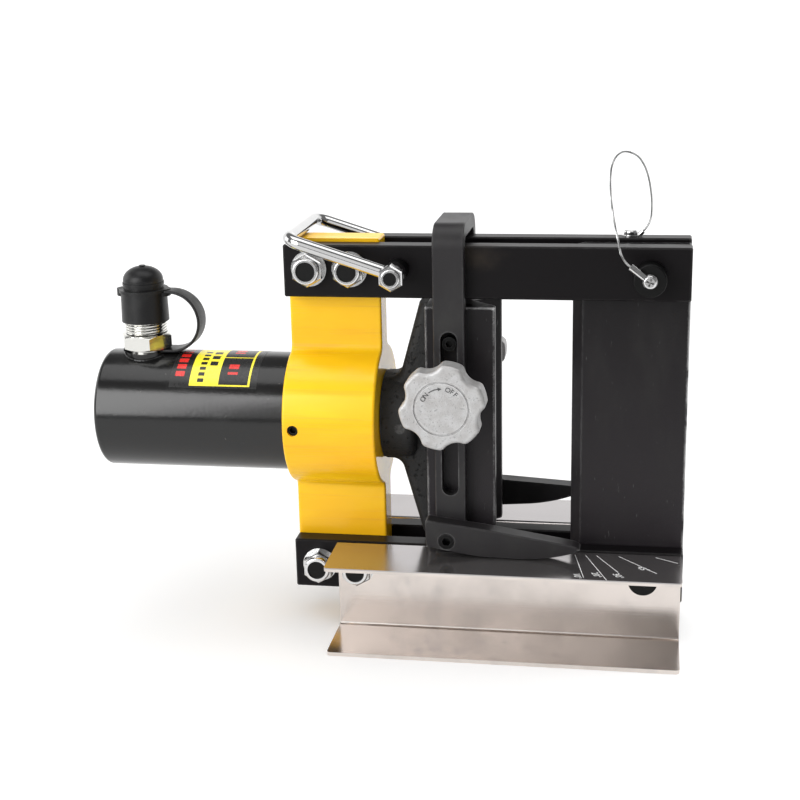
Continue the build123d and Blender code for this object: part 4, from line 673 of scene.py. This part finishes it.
def finish_machined(name, base_colour, roughness, rub=0.05):
    """Turned or ground metal with fine tool marks, its edges lifted brighter as rubbed metal and as a painted
    edge highlight, and painted shade in its hollows.
    """
    material, tree, shader = new_material(name, metallic=1.0)
    marks = drift_mask(tree, scale=(900, 900, 900), detail=3, contrast=(0.3, 0.7))
    # The brighter edges are rubbed metal and a painted edge highlight
    edge_wear_and_highlight = edge_wear_and_highlight_mask(tree, width=0.6 * MM, amount=0.7)
    base = mix_colours(tree, edge_wear_and_highlight, base_colour, scaled_colour(base_colour, 1.35, rub))
    # Painted shade: the hollows are darkened
    cavity_shaded = mix_colours(tree, cavity_shade_mask(tree, 0.7), base, grey(0.004))
    dress(tree, shader, cavity_shaded, mix_values(tree, marks, roughness, roughness + 0.12), marks, 0.01 * MM)
    return material


def finish_rubber(name, base_colour, bloom):
    """Moulded rubber with a dusty bloom and a fine skin."""
    material, tree, shader = new_material(name, specular_ior_level=0.3)
    drift = drift_mask(tree, scale=(90, 90, 90), detail=5, contrast=(0.45, 0.75))
    base = mix_colours(tree, drift, base_colour, grey(bloom))
    grain = use_group(tree, "grain", grain_scale=1800.0, pit_scale=700.0, pit_depth=0.4)
    dress(tree, shader, base, mix_values(tree, drift, 0.36, 0.50), grain["Height"], 0.06 * MM)
    return material


def finish_print(name, colour):
    """Ink on a foil label, a little uneven in tone and gloss."""
    material, tree, shader = new_material(name, coat_weight=0.25, coat_roughness=0.15)
    speck = drift_mask(tree, scale=(500, 500, 500), detail=4, contrast=(0.35, 0.75))
    base = mix_colours(tree, speck, colour, scaled_colour(colour, 0.82))
    dress(tree, shader, base, mix_values(tree, speck, 0.26, 0.38))
    return material


def finish_etched():
    """Etched scale marks: pale and matt against the mirror plate."""
    material, tree, shader = new_material("etched_mark", metallic=0.1)
    speck = drift_mask(tree, scale=(1200, 1200, 1200), detail=3, contrast=(0.3, 0.6))
    base = mix_colours(tree, speck, grey(0.60), grey(0.88))
    dress(tree, shader, base, mix_values(tree, speck, 0.5, 0.8))
    return material


def build_finishes(colours):
    """Every material of the machine, by the record's slot name, and those of the label and marks."""
    return {
        "yellow_paint": finish_yellow_paint(colours),
        "beam_black": finish_beam_black(colours),
        "cylinder_black": finish_cylinder_black(),
        "cast_black": finish_cast_black(),
        "die_black": finish_die_black(colours),
        "strap_grey": finish_strap_grey(colours),
        "cast_aluminium": finish_cast_aluminium(colours),
        "nickel_plate": finish_plate("nickel_plate", colours.nickel, 0.16, 0.08, 0.84, colours.film),
        "handle_chrome": finish_plate("handle_chrome", grey(0.61), 0.04, 0.04),
        "bright_zinc": finish_plate("bright_zinc", grey(0.70), 0.14, 0.12),
        "olive_zinc": finish_plate("olive_zinc", colours.olive, 0.14, 0.10),
        # Its large edge lift is also a painted highlight on the rims of the screw and pin heads
        "black_oxide": finish_machined("black_oxide", grey(0.018), 0.34, 0.10),
        "ground_steel": finish_machined("ground_steel", grey(0.58), 0.2),
        "bush_bronze": finish_machined("bush_bronze", colours.bronze, 0.26),
        "spring_steel": finish_machined("spring_steel", grey(0.42), 0.26),
        "cap_rubber": finish_rubber("cap_rubber", colours.rubber, 0.011),
        "seal_rubber": finish_rubber("seal_rubber", grey(0.010), 0.016),
        "label_black": finish_print("label_black", grey(0.010)),
        "label_yellow": finish_print("label_yellow", colours.print_yellow),
        "label_red": finish_print("label_red", colours.print_red),
        "etched_mark": finish_etched(),
        "cast_mark": finish_machined("cast_mark", grey(0.10), 0.5, 0.02),
    }


FINISHES = {}


# Mesh helpers

def add_object(name, data):
    """A new object in the scene."""
    made = bpy.data.objects.new(name, data)
    bpy.context.scene.collection.objects.link(made)
    return made


def add_piece(name, shape, finish, body, sharp=40.0):
    """A new piece of the machine from a bmesh: smoothed, finished, and riding on its body if it has one."""
    bmesh.ops.recalc_face_normals(shape, faces=shape.faces)
    mesh = bpy.data.meshes.new(name)
    shape.to_mesh(mesh)
    shape.free()
    mesh.shade_smooth()
    mesh.set_sharp_from_angle(angle=math.radians(sharp))
    mesh.materials.append(FINISHES[finish])
    piece = add_object(name, mesh)
    if body is not None:
        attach(piece, body)
    return piece


def on_circle(middle, radius, turn, right, up):
    """The point at that turn on a circle with its own right and up."""
    return middle + radius * (math.cos(turn) * right + math.sin(turn) * up)


def circle(middle, radius, right, up, sides):
    """Points all the way round such a circle."""
    return [on_circle(middle, radius, math.tau * i / sides, right, up) for i in range(sides)]


def add_ring(shape, points):
    """A ring of new vertices."""
    return [shape.verts.new(p) for p in points]


def bridge(shape, first, second):
    """Faces between two closed rings of as many vertices."""
    count = len(first)
    for i in range(count):
        j = (i + 1) % count
        shape.faces.new((first[i], first[j], second[j], second[i]))


def skin(shape, rings, closed=False):
    """A skin over the rings in order: closed on itself, or capped at both ends."""
    for first, second in zip(rings, rings[1:]):
        bridge(shape, first, second)
    if closed:
        bridge(shape, rings[-1], rings[0])
    else:
        shape.faces.new(rings[0])
        shape.faces.new(list(reversed(rings[-1])))


def ways_along(points):
    """The direction of a line at each of its points."""
    last = len(points) - 1
    return [(points[min(i + 1, last)] - points[max(i - 1, 0)]).normalized() for i in range(len(points))]


def frames_along(points):
    """At each point of a line, two axes across it that don't twist."""
    ways = ways_along(points)
    side = ways[0].orthogonal().normalized()
    frames = []
    for way in ways:
        side = (side - way * side.dot(way)).normalized()
        frames.append((side, way.cross(side)))
    return frames


def add_tube(shape, points, radius, sides):
    """A closed round tube along the points."""
    rings = []
    for point, (side, across) in zip(points, frames_along(points)):
        rings.append(add_ring(shape, circle(point, radius, side, across, sides)))
    skin(shape, rings)


def spline_points(route, steps):
    """Points of the smooth line whose control points are the route."""
    curve = bpy.data.curves.new("route_line", "CURVE")
    curve.dimensions = "3D"
    curve.resolution_u = steps
    spline = curve.splines.new("NURBS")
    spline.points.add(len(route) - 1)
    for point, place in zip(spline.points, route):
        point.co = (*place, 1.0)
    spline.order_u = 3
    spline.use_endpoint_u = True
    line = bpy.data.objects.new("route_line", curve)
    mesh = bpy.data.meshes.new_from_object(line)
    points = [vertex.co.copy() for vertex in mesh.vertices]
    bpy.data.objects.remove(line)
    bpy.data.curves.remove(curve)
    bpy.data.meshes.remove(mesh)
    return points


def rounded_section(width, thickness, corner, steps=4):
    """Outline of a flat band with rounded edges, as pairs across and through it."""
    outline = []
    for sign_a, sign_b, start in ((1, 1, 0), (-1, 1, 90), (-1, -1, 180), (1, -1, 270)):
        for i in range(steps + 1):
            turn = math.radians(start + 90 * i / steps)
            outline.append((
                sign_a * (width / 2 - corner) + corner * math.cos(turn),
                sign_b * (thickness / 2 - corner) + corner * math.sin(turn),
            ))
    return outline


def add_letters(shape, words, height, depth, place):
    """Raised letters: the words' outline at that height, put in place by a matrix."""
    curve = bpy.data.curves.new("letters", "FONT")
    curve.body = words
    curve.align_x = "CENTER"
    curve.align_y = "CENTER"
    curve.resolution_u = 4
    curve.extrude = 0.5
    text = bpy.data.objects.new("letters", curve)
    mesh = bpy.data.meshes.new_from_object(text)
    tall = max(v.co.y for v in mesh.vertices) - min(v.co.y for v in mesh.vertices)
    size = Matrix.Diagonal((height / tall, height / tall, depth, 1.0))
    mesh.transform(place @ size)
    shape.from_mesh(mesh)
    bmesh.ops.remove_doubles(shape, verts=shape.verts, dist=0.001 * MM)
    bpy.data.objects.remove(text)
    bpy.data.curves.remove(curve)
    bpy.data.meshes.remove(mesh)


def placing(origin, right, up):
    """The matrix that lays a flat outline at origin with its own right and up."""
    right = Vector(right).normalized()
    up = Vector(up).normalized()
    turned = Matrix((right, up, right.cross(up))).transposed().to_4x4()
    return Matrix.Translation(origin) @ turned


# Pieces

class BENDER_OT_finishes(bpy.types.Operator):
    """Make the finishes and put one on every CAD node"""

    bl_idname = "bender.finishes"
    bl_label = "Finishes"

    def execute(self, context):
        FINISHES.update(build_finishes(context.scene.bender_finishes))
        slots = {row["node"]: row["material_slot"] for row in frame["record"]["subparts"]}
        # The ram head's screw takes the gloss black paint, as painted shade for the dark hole it sits in
        slots["ram_head_screw"] = "cylinder_black"
        for node, piece in frame["nodes"].items():
            piece.data.materials.clear()
            piece.data.materials.append(FINISHES[slots[node]])
        return {"FINISHED"}


class BENDER_OT_lanyard(bpy.types.Operator):
    """Twist the lanyard wire along its route, from the rear beam to the pull pin"""

    bl_idname = "bender.lanyard"
    bl_label = "Pin Lanyard"

    strands = 6
    strand_sides = 6
    route_steps = 20

    def execute(self, context):
        sizes = context.scene.bender_sizes
        points = spline_points(LANYARD_ROUTE, self.route_steps)
        # Six strands round a core of their own size fill three widths
        core = sizes.wire_diameter / 6
        shape = bmesh.new()
        add_tube(shape, points, core, self.strand_sides)
        for strand in range(self.strands):
            run = 0.0
            line = []
            for i, (point, (side, across)) in enumerate(zip(points, frames_along(points))):
                if i:
                    run += (point - points[i - 1]).length
                turn = math.tau * (strand / self.strands + run / sizes.wire_lay)
                line.append(on_circle(point, 2 * core, turn, side, across))
            add_tube(shape, line, core, self.strand_sides)
        wire = add_piece("lanyard_wire", shape, "spring_steel", None)
        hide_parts("lanyard_cable")
        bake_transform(wire)
        return {"FINISHED"}


class BENDER_OT_tether(bpy.types.Operator):
    """Mould the band that holds the dust cap: an open ring under the coupler and a loop to the cap's ear"""

    bl_idname = "bender.tether"
    bl_label = "Cap Tether"

    def execute(self, context):
        sizes = context.scene.bender_sizes
        sheet = sizes.tether_sheet
        mid_z = TETHER_LOW.z + sheet / 2
        bend = (TETHER_HIGH.z - TETHER_LOW.z - sheet) / 2
        bend_x = TETHER_HIGH.x - sheet / 2 - bend
        shape = bmesh.new()
        self.add_collar(shape, mid_z, sheet)
        self.add_band(shape, self.band_path(mid_z, bend, bend_x), sizes)
        band = add_piece("cap_tether", shape, "cap_rubber", None, sharp=60.0)
        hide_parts("dust_cap_tether")
        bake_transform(band)
        return {"FINISHED"}

    def add_collar(self, shape, mid_z, sheet):
        """The flat ring round the coupler's collar, open at the front."""
        inner = 11.15 * MM
        outer = PORT_X - TETHER_LOW.x
        first, sweep, steps = -27, 234, 48
        section = rounded_section(outer - inner, sheet, corner=0.5 * MM)
        rings = []
        for i in range(steps + 1):
            turn = math.radians(first + sweep * i / steps)
            way = Vector((math.cos(turn), math.sin(turn), 0))
            middle = Vector((PORT_X, 0, mid_z)) + way * (outer + inner) / 2
            rings.append(add_ring(shape, [middle + a * way + b * Z_AXIS for a, b in section]))
        skin(shape, rings)

    def band_path(self, mid_z, bend, bend_x):
        """Points from the ring, round the bend and back to the cap's ear, each with its part of the bend."""
        start = Vector((PORT_X + 12.4 * MM, 0, mid_z))
        foot = Vector((bend_x, 0, mid_z))
        middle = Vector((bend_x, 0, mid_z + bend))
        run_steps, bend_steps, ear_steps = 5, 32, 3
        ear_step = 0.9 * MM
        path = [(start.lerp(foot, i / run_steps), 0.0) for i in range(run_steps)]
        for i in range(bend_steps + 1):
            turn = math.radians(-90 + 180 * i / bend_steps)
            path.append((on_circle(middle, bend, turn, X_AXIS, Z_AXIS), i / bend_steps))
        for i in range(1, ear_steps + 1):
            path.append((Vector((bend_x - i * ear_step, 0, mid_z + 2 * bend)), 1.0))
        return path

    def add_band(self, shape, path, sizes):
        """The flat band along its path, narrower towards the cap."""
        taper, taper_from = 0.2, 0.6
        rings = []
        for (spot, part), way in zip(path, ways_along([spot for spot, part in path])):
            through = way.cross(Y_AXIS).normalized()
            width = sizes.tether_band * (1 - taper * max(0.0, part - taper_from) / (1 - taper_from))
            section = rounded_section(width, sizes.tether_sheet, corner=0.6 * MM)
            rings.append(add_ring(shape, [spot + a * Y_AXIS + b * through for a, b in section]))
        skin(shape, rings)


class BENDER_OT_springs(bpy.types.Operator):
    """Wind the ram's return spring and the coupler valve's spring"""

    bl_idname = "bender.springs"
    bl_label = "Springs"

    def execute(self, context):
        sizes = context.scene.bender_sizes
        self.wind(
            "ram_spring", "return_spring", "ram_stroke", sizes.ram_coils, sizes.ram_wire,
            RAM_SPRING_LOW, RAM_SPRING_HIGH, X_AXIS, keep=0.317,
        )
        self.wind(
            "valve_spring", "coupler_spring", "poppet_press", sizes.valve_coils, sizes.valve_wire,
            VALVE_SPRING_HIGH, VALVE_SPRING_LOW, -Z_AXIS, keep=0.79,
        )
        return {"FINISHED"}

    def wind(self, name, node, joint, coils, wire, free_end, fixed_end, axis, keep):
        """One wound spring in the place of its node, with its last turn at each end laid flat."""
        coil_steps, wire_sides = 28, 10
        flat_turn, flat_wave = 0.9, 0.05
        middle = free_end.lerp(fixed_end, 0.5)
        length = (fixed_end - free_end).dot(axis)
        across = axis.orthogonal().normalized()
        other = axis.cross(across)
        width = abs((fixed_end - free_end).dot(Y_AXIS))
        start = middle - axis * (length - wire) / 2
        steps = int(coils * coil_steps)
        flat = flat_turn / coils
        points = []
        for i in range(steps + 1):
            part = i / steps
            climb = min(1.0, max(0.0, (part - flat) / (1 - 2 * flat)))
            turn = math.tau * coils * part
            rise = climb * (length - wire) + (wire * flat_wave) * math.sin(turn)
            points.append(on_circle(start + axis * rise, (width - wire) / 2, turn, across, other))
        shape = bmesh.new()
        add_tube(shape, points, wire / 2, wire_sides)
        spring = add_piece(name, shape, "spring_steel", "frame")
        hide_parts(node)
        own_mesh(spring)


def round_outline(radius):
    """A circle, as its radius at each turn."""
    return lambda turn: radius


def hexagon_outline(flats, limit):
    """A hexagon with its corners turned down to the limit, as its radius at each turn."""
    sixth = math.pi / 3
    return lambda turn: min(flats / 2 / math.cos(turn % sixth - sixth / 2), limit)


def thread_outline(crest, depth, turns, lead):
    """One level of a screw thread that many turns up, as its radius at each turn."""
    rise, slope = 1.6, 3.2

    def radius(turn):
        phase = (turns - turn / math.tau) % 1.0
        tooth = min(1.0, max(0.0, rise - slope * abs(phase - 0.5)))
        return crest - depth + depth * tooth * lead

    return radius


class BENDER_OT_coupler(bpy.types.Operator):
    """Turn the hose coupler: spigot, hexagon with bevelled corners, threaded neck and bore"""

    bl_idname = "bender.coupler"
    bl_label = "Hose Coupler"

    def execute(self, context):
        sizes = context.scene.bender_sizes
        hex_low = BOSS_TOP + 2.0 * MM
        hex_high = hex_low + sizes.hex_height
        levels = [
            *self.spigot(hex_low),
            *self.hexagon(sizes, hex_low, hex_high),
            *self.neck(sizes, hex_high),
            *self.bore(sizes, hex_high),
        ]
        shape = bmesh.new()
        rings = [self.ring(shape, height, outline, sizes.hex_turn) for height, outline in levels]
        skin(shape, rings, closed=True)
        coupler = add_piece("hose_coupler", shape, "olive_zinc", "frame", sharp=32.0)
        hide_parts("coupler_body")
        return {"FINISHED"}

    def ring(self, shape, height, outline, hex_turn):
        """A ring of vertices at that height."""
        segments = 96
        points = []
        for i in range(segments):
            turn = math.tau * i / segments
            radius = outline(turn)
            points.append((
                PORT_X + radius * math.cos(turn + hex_turn), radius * math.sin(turn + hex_turn), height,
            ))
        return add_ring(shape, points)

    def spigot(self, hex_low):
        """Levels of the spigot in the port boss and the collar under the hexagon."""
        spigot, collar = 9.5 * MM, 11.0 * MM
        return [
            (COUPLER_LOW.z, round_outline(OIL_WAY)),
            (COUPLER_LOW.z, round_outline(spigot)),
            (BOSS_TOP, round_outline(spigot)),
            (BOSS_TOP, round_outline(collar)),
            (hex_low, round_outline(collar)),
        ]

    def hexagon(self, sizes, hex_low, hex_high):
        """Levels of the hexagon, bevelled below and above."""
        bevel, steps = 1.3 * MM, 5
        corner = sizes.hex_flats / math.sqrt(3)
        inner = sizes.hex_flats / 2 - 0.3 * MM
        below, above = [], []
        for step in range(steps + 1):
            outline = hexagon_outline(sizes.hex_flats, inner + (corner - inner) * step / steps)
            below.append((hex_low + bevel * step / steps, outline))
            above.append((hex_high - bevel * step / steps, outline))
        return below + above[::-1]

    def neck(self, sizes, hex_high):
        """Levels of the threaded neck, whose thread fades out at both ends."""
        depth, fade_low, fade_high = 0.7 * MM, 1.2 * MM, 1.6 * MM
        pitch_rows = 8
        tall = COUPLER_HIGH.z - hex_high
        rows = int(tall / sizes.thread_pitch * pitch_rows)
        levels = []
        for row in range(rows + 1):
            height = hex_high + tall * row / rows
            lead = min(1.0, (COUPLER_HIGH.z - height) / fade_high, (height - hex_high) / fade_low)
            turns = (height - hex_high) / sizes.thread_pitch
            levels.append((height, thread_outline(sizes.thread_diameter / 2, depth, turns, lead)))
        return levels

    def bore(self, sizes, hex_high):
        """Levels of the bevelled bore, down to its floor in the hexagon."""
        bevel = 0.8 * MM
        bore = sizes.coupler_bore / 2
        floor = hex_high - 2.0 * MM
        return [
            (COUPLER_HIGH.z, round_outline(bore + bevel)),
            (COUPLER_HIGH.z - bevel, round_outline(bore)),
            (floor, round_outline(bore)),
            (floor, round_outline(OIL_WAY)),
        ]


class BENDER_OT_weld(bpy.types.Operator):
    """Lay the rippled weld bead round the port boss"""

    bl_idname = "bender.weld"
    bl_label = "Port Weld"

    def execute(self, context):
        reach, sunk = 14.4 * MM, 0.55 * MM
        bead, ripple, sway = 0.92 * MM, 0.14 * MM, 0.06 * MM
        ripples, sways = 21, 3
        steps, bead_sides = 168, 10
        shape = bmesh.new()
        rings = []
        for i in range(steps):
            turn = math.tau * i / steps
            way = Vector((math.cos(turn), math.sin(turn), 0))
            spot = Vector((PORT_X, 0, 0)) + way * reach
            spot.z = BORE.z + math.sqrt(TUBE_RADIUS**2 - spot.y**2) - sunk
            radius = bead + ripple * abs(math.sin(turn * ripples)) + sway * math.sin(turn * sways)
            rings.append(add_ring(shape, circle(spot, radius, way, Z_AXIS, bead_sides)))
        skin(shape, rings, closed=True)
        add_piece("port_weld", shape, "cylinder_black", "frame", sharp=70.0)
        return {"FINISHED"}


class BENDER_OT_label(bpy.types.Operator):
    """Wrap the plain printed label over the cylinder"""

    bl_idname = "bender.label"
    bl_label = "Cylinder Label"

    def execute(self, context):
        start = context.scene.bender_sizes.label_start
        self.layer("label_ground", LABEL_GROUND, "label_black", "cylinder_black", start, 0.10 * MM)
        self.layer("label_yellow", LABEL_YELLOW, "label_yellow", "yellow_paint", start, 0.14 * MM)
        self.layer("label_red", LABEL_RED, "label_red", "yellow_paint", start, 0.15 * MM)
        self.layer("label_bars", LABEL_BARS, "label_black", "cylinder_black", start, 0.18 * MM)
        return {"FINISHED"}

    def layer(self, name, blocks, finish, slot, start, height):
        """Thin curved blocks that stand that far off the tube and begin a little inside it."""
        sunk = -0.05 * MM
        step_degrees = 2
        shape = bmesh.new()
        for left, right, top, foot in blocks:
            steps = max(2, int((foot - top) / step_degrees))
            rings = []
            for i in range(steps + 1):
                turn = math.radians(top + (foot - top) * i / steps)
                way = Vector((0, -math.sin(turn), math.cos(turn)))
                points = []
                for along, out in ((left, sunk), (left, height), (right, height), (right, sunk)):
                    points.append(Vector((start + along * MM, 0, BORE.z)) + way * (TUBE_RADIUS + out))
                rings.append(add_ring(shape, points))
            skin(shape, rings)
        add_piece(name, shape, finish, "frame")


class BENDER_OT_scale(bpy.types.Operator):
    """Etch the angle scale on the front table"""

    bl_idname = "bender.scale"
    bl_label = "Angle Scale"

    def execute(self, context):
        number_height = context.scene.bender_sizes.number_height
        proud = 0.04 * MM * Z_AXIS
        half_width = 0.22 * MM
        shape = bmesh.new()
        for start, end, _, _ in SCALE_LINES:
            way = (Vector((*end, 0)) - Vector((*start, 0))).normalized()
            side = Vector((-way.y, way.x, 0)) * half_width
            rings = []
            for spot in (Vector((*start, TABLE_TOP)), Vector((*end, TABLE_TOP))):
                corners = [spot - side - proud, spot + side - proud, spot + side + proud, spot - side + proud]
                rings.append(add_ring(shape, corners))
            skin(shape, rings)
        for start, end, number, place in SCALE_LINES:
            if number:
                right = Vector((*end, 0)) - Vector((*start, 0))
                up = Vector((-right.y, right.x, 0))
                laid = placing(Vector((*place, TABLE_TOP)), right, up)
                add_letters(shape, number, number_height, 2 * proud.z, laid)
        add_piece("angle_scale", shape, "etched_mark", "frame")
        return {"FINISHED"}


class BENDER_OT_knob_letters(bpy.types.Operator):
    """Cast the turning marks round the face of each clamp knob"""

    bl_idname = "bender.knob_letters"
    bl_label = "Knob Letters"

    def execute(self, context):
        front = Vector((FRONT_STUD.x, FRONT_KNOB_FACE, FRONT_STUD.z))
        rear = Vector((REAR_STUD.x, REAR_KNOB_FACE, REAR_STUD.z))
        height = context.scene.bender_sizes.letter_height
        self.cast("front_knob_letters", front, X_AXIS, "front_clamp", height)
        self.cast("rear_knob_letters", rear, -X_AXIS, "rear_clamp", height)
        return {"FINISHED"}

    def cast(self, name, face, right, body, height):
        """Raised letters and an arrow on one knob's face."""
        raised = 0.5 * MM
        radius = 12.2 * MM
        shape = bmesh.new()

        def spot(reach, degrees):
            return on_circle(face, reach, math.radians(degrees), right, Z_AXIS)

        for letter, degrees in KNOB_LETTERS:
            out = (spot(1.0, degrees) - face).normalized()
            along = (spot(1.0, degrees - 90) - face).normalized()
            add_letters(shape, letter, height, raised, placing(spot(radius, degrees), along, out))
        lift = right.cross(Z_AXIS) * raised / 2
        tail, neck, tip, steps = 128, 98, 89, 12
        shaft, barb, barb_turn = 0.3 * MM, 1.1 * MM, 99
        rings = []
        for i in range(steps + 1):
            degrees = tail + (neck - tail) * i / steps
            inner = spot(radius - shaft, degrees)
            outer = spot(radius + shaft, degrees)
            rings.append(add_ring(shape, [inner - lift, outer - lift, outer + lift, inner + lift]))
        skin(shape, rings)
        head = [spot(radius, tip), spot(radius + barb, barb_turn), spot(radius - barb, barb_turn)]
        skin(shape, [add_ring(shape, [p - lift for p in head]), add_ring(shape, [p + lift for p in head])])
        add_piece(name, shape, "cast_mark", body)


# Stage

class BENDER_OT_stage(bpy.types.Operator):
    """Set the floor, the lights and the camera"""

    bl_idname = "bender.stage"
    bl_label = "Stage"

    def execute(self, context):
        stage = context.scene.bender_stage
        floor = add_floor(stage)
        add_room(stage)
        add_lights(stage, floor)
        add_camera(stage)
        return {"FINISHED"}


def add_floor(stage):
    """A plain pale floor that glows a little, as a burnt-out studio ground does."""
    # It begins just behind the camera, and a little below the feet so that they share no plane
    half, front, drop = 30.0, -1.05, 0.2 * MM
    shape = bmesh.new()
    bmesh.ops.create_grid(shape, x_segments=2, y_segments=2, size=half)
    bmesh.ops.translate(shape, verts=shape.verts, vec=(0, front + half, 0))
    mesh = bpy.data.meshes.new("floor")
    shape.to_mesh(mesh)
    shape.free()
    material, tree, shader = new_material(
        "floor_white", specular_ior_level=0.15, emission_color=(1, 1, 1, 1),
        emission_strength=stage.floor_glow,
    )
    drift = drift_mask(tree, scale=(3, 3, 3), detail=2, contrast=(0.2, 0.8))
    base = mix_colours(tree, drift, grey(0.87), grey(0.88))
    dress(tree, shader, base, mix_values(tree, drift, 0.6, 0.7))
    mesh.materials.append(material)
    floor = add_object("floor", mesh)
    floor.location.z = -drop
    return floor


def add_lamp(name, kind, place, target, power):
    """A lamp that faces the target."""
    light = bpy.data.lights.new(name, kind)
    light.energy = power
    lamp = add_object(name, light)
    lamp.location = place
    lamp.rotation_mode = "QUATERNION"
    lamp.rotation_quaternion = (Vector(target) - Vector(place)).to_track_quat("-Z", "Y")
    return lamp


def link_light(lamp, floor, state):
    """Let the lamp light the floor alone, or everything but the floor."""
    receivers = bpy.data.collections.new(lamp.name + "_receivers")
    receivers.objects.link(floor)
    receivers.collection_objects[0].light_linking.link_state = state
    lamp.light_linking.receiver_collection = receivers


def add_box(name, place, target, width, height, power, floor):
    """A soft box that faces the target and leaves the floor's even white alone."""
    lamp = add_lamp(name, "AREA", place, target, power)
    lamp.data.shape = "RECTANGLE"
    lamp.data.size = width
    lamp.data.size_y = height
    link_light(lamp, floor, "EXCLUDE")
    return lamp


def add_room(stage):
    """A dim room with a white sweep low behind the machine, white where the camera looks past it."""
    world = bpy.data.worlds.new("room")
    world.use_nodes = True
    tree = world.node_tree
    way = add_node(tree, "ShaderNodeTexCoord").outputs["Generated"]
    part = add_node(tree, "ShaderNodeSeparateXYZ", {0: way})
    behind = ramp(tree, part.outputs["Y"], 0.1, 0.5, smooth=True)
    low = ramp(tree, part.outputs["Z"], 0.62, 0.42, smooth=True)
    glow = mix_values(tree, combine(tree, "MULTIPLY", behind, low), stage.room, stage.sweep)
    seen = add_node(tree, "ShaderNodeLightPath").outputs["Is Camera Ray"]
    background = tree.nodes["Background"]
    background.inputs["Color"].default_value = (1, 1, 1, 1)
    tree.links.new(combine(tree, "MAXIMUM", glow, seen), background.inputs["Strength"])
    bpy.context.scene.world = world


def add_lights(stage, floor):
    """Soft studio light: five boxes for the machine, and a wide sun for the floor."""
    middle = (-0.1, 0.0, 0.14)
    add_box("front_box", (-0.957, -1.224, 0.71), middle, 1.04, 1.29, stage.front_power, floor)
    add_box("fill_box", (-0.21, -1.49, 0.71), middle, 0.64, 1.29, stage.fill_power, floor)
    add_box("top_box", (0.0, -0.1, 1.6), (0.0, -0.1, 0.0), 1.6, 0.98, stage.top_power, floor)
    add_box("side_box", (-1.6, 0.1, 0.7), middle, 0.8, 0.9, stage.side_power, floor)
    soft_top = add_box("soft_top", (0.0, 0.0, 1.5), middle, 1.5, 1.5, stage.soft_power, floor)
    soft_top.visible_glossy = False
    sun = add_lamp("floor_light", "SUN", (0.9, -0.5, 2.0), (0, 0, 0), stage.floor_light)
    sun.data.angle = math.radians(100)
    link_light(sun, floor, "INCLUDE")


def add_camera(stage):
    """The camera at the photograph's viewing angle."""
    flat = math.cos(stage.elevation)
    back = Vector((
        math.sin(stage.azimuth) * flat, -math.cos(stage.azimuth) * flat, math.sin(stage.elevation),
    ))
    right = (-back).cross(Z_AXIS).normalized()
    up = right.cross(-back)
    turned = math.cos(stage.roll) * right + math.sin(stage.roll) * up
    upright = -math.sin(stage.roll) * right + math.cos(stage.roll) * up
    lens = bpy.data.cameras.new("camera")
    lens.sensor_width = 36.0
    lens.lens = stage.lens
    lens.clip_start = 0.01
    lens.clip_end = 100.0
    camera = add_object("camera", lens)
    camera.matrix_world = Matrix((turned, upright, back)).transposed().to_4x4()
    camera.location = stage.camera_place
    scene = bpy.context.scene
    scene.camera = camera
    scene.view_settings.view_transform = "Standard"


class BENDER_PT_panel(bpy.types.Panel):
    """The steps that dress the bar bender"""

    bl_label = "Bar Bender"
    bl_idname = "BENDER_PT_panel"
    bl_space_type = "VIEW_3D"
    bl_region_type = "UI"
    bl_category = "Bar Bender"

    def draw(self, context):
        for step in STEPS:
            self.layout.operator(step.bl_idname)
        scene = context.scene
        for group in (scene.bender_finishes, scene.bender_sizes, scene.bender_stage):
            box = self.layout.box()
            for name in group.__annotations__:
                box.prop(group, name)


STEPS = (
    BENDER_OT_finishes,
    BENDER_OT_lanyard,
    BENDER_OT_tether,
    BENDER_OT_springs,
    BENDER_OT_coupler,
    BENDER_OT_weld,
    BENDER_OT_label,
    BENDER_OT_scale,
    BENDER_OT_knob_letters,
    BENDER_OT_stage,
)
CLASSES = (BenderFinishes, BenderSizes, BenderStage, *STEPS, BENDER_PT_panel)


def register():
    """Register the classes and hang the settings on the scene."""
    for made in CLASSES:
        bpy.utils.register_class(made)
    bpy.types.Scene.bender_finishes = bpy.props.PointerProperty(type=BenderFinishes)
    bpy.types.Scene.bender_sizes = bpy.props.PointerProperty(type=BenderSizes)
    bpy.types.Scene.bender_stage = bpy.props.PointerProperty(type=BenderStage)


def unregister():
    """Take the settings and the classes away again."""
    del bpy.types.Scene.bender_stage
    del bpy.types.Scene.bender_sizes
    del bpy.types.Scene.bender_finishes
    for made in reversed(CLASSES):
        bpy.utils.unregister_class(made)


def main():
    """Dress the bar bender piece by piece."""
    register()
    bpy.ops.bender.finishes()
    bpy.ops.bender.lanyard()
    bpy.ops.bender.tether()
    bpy.ops.bender.springs()
    bpy.ops.bender.coupler()
    bpy.ops.bender.weld()
    bpy.ops.bender.label()
    bpy.ops.bender.scale()
    bpy.ops.bender.knob_letters()
    bpy.ops.bender.stage()


if __name__ == "__main__":
    main()
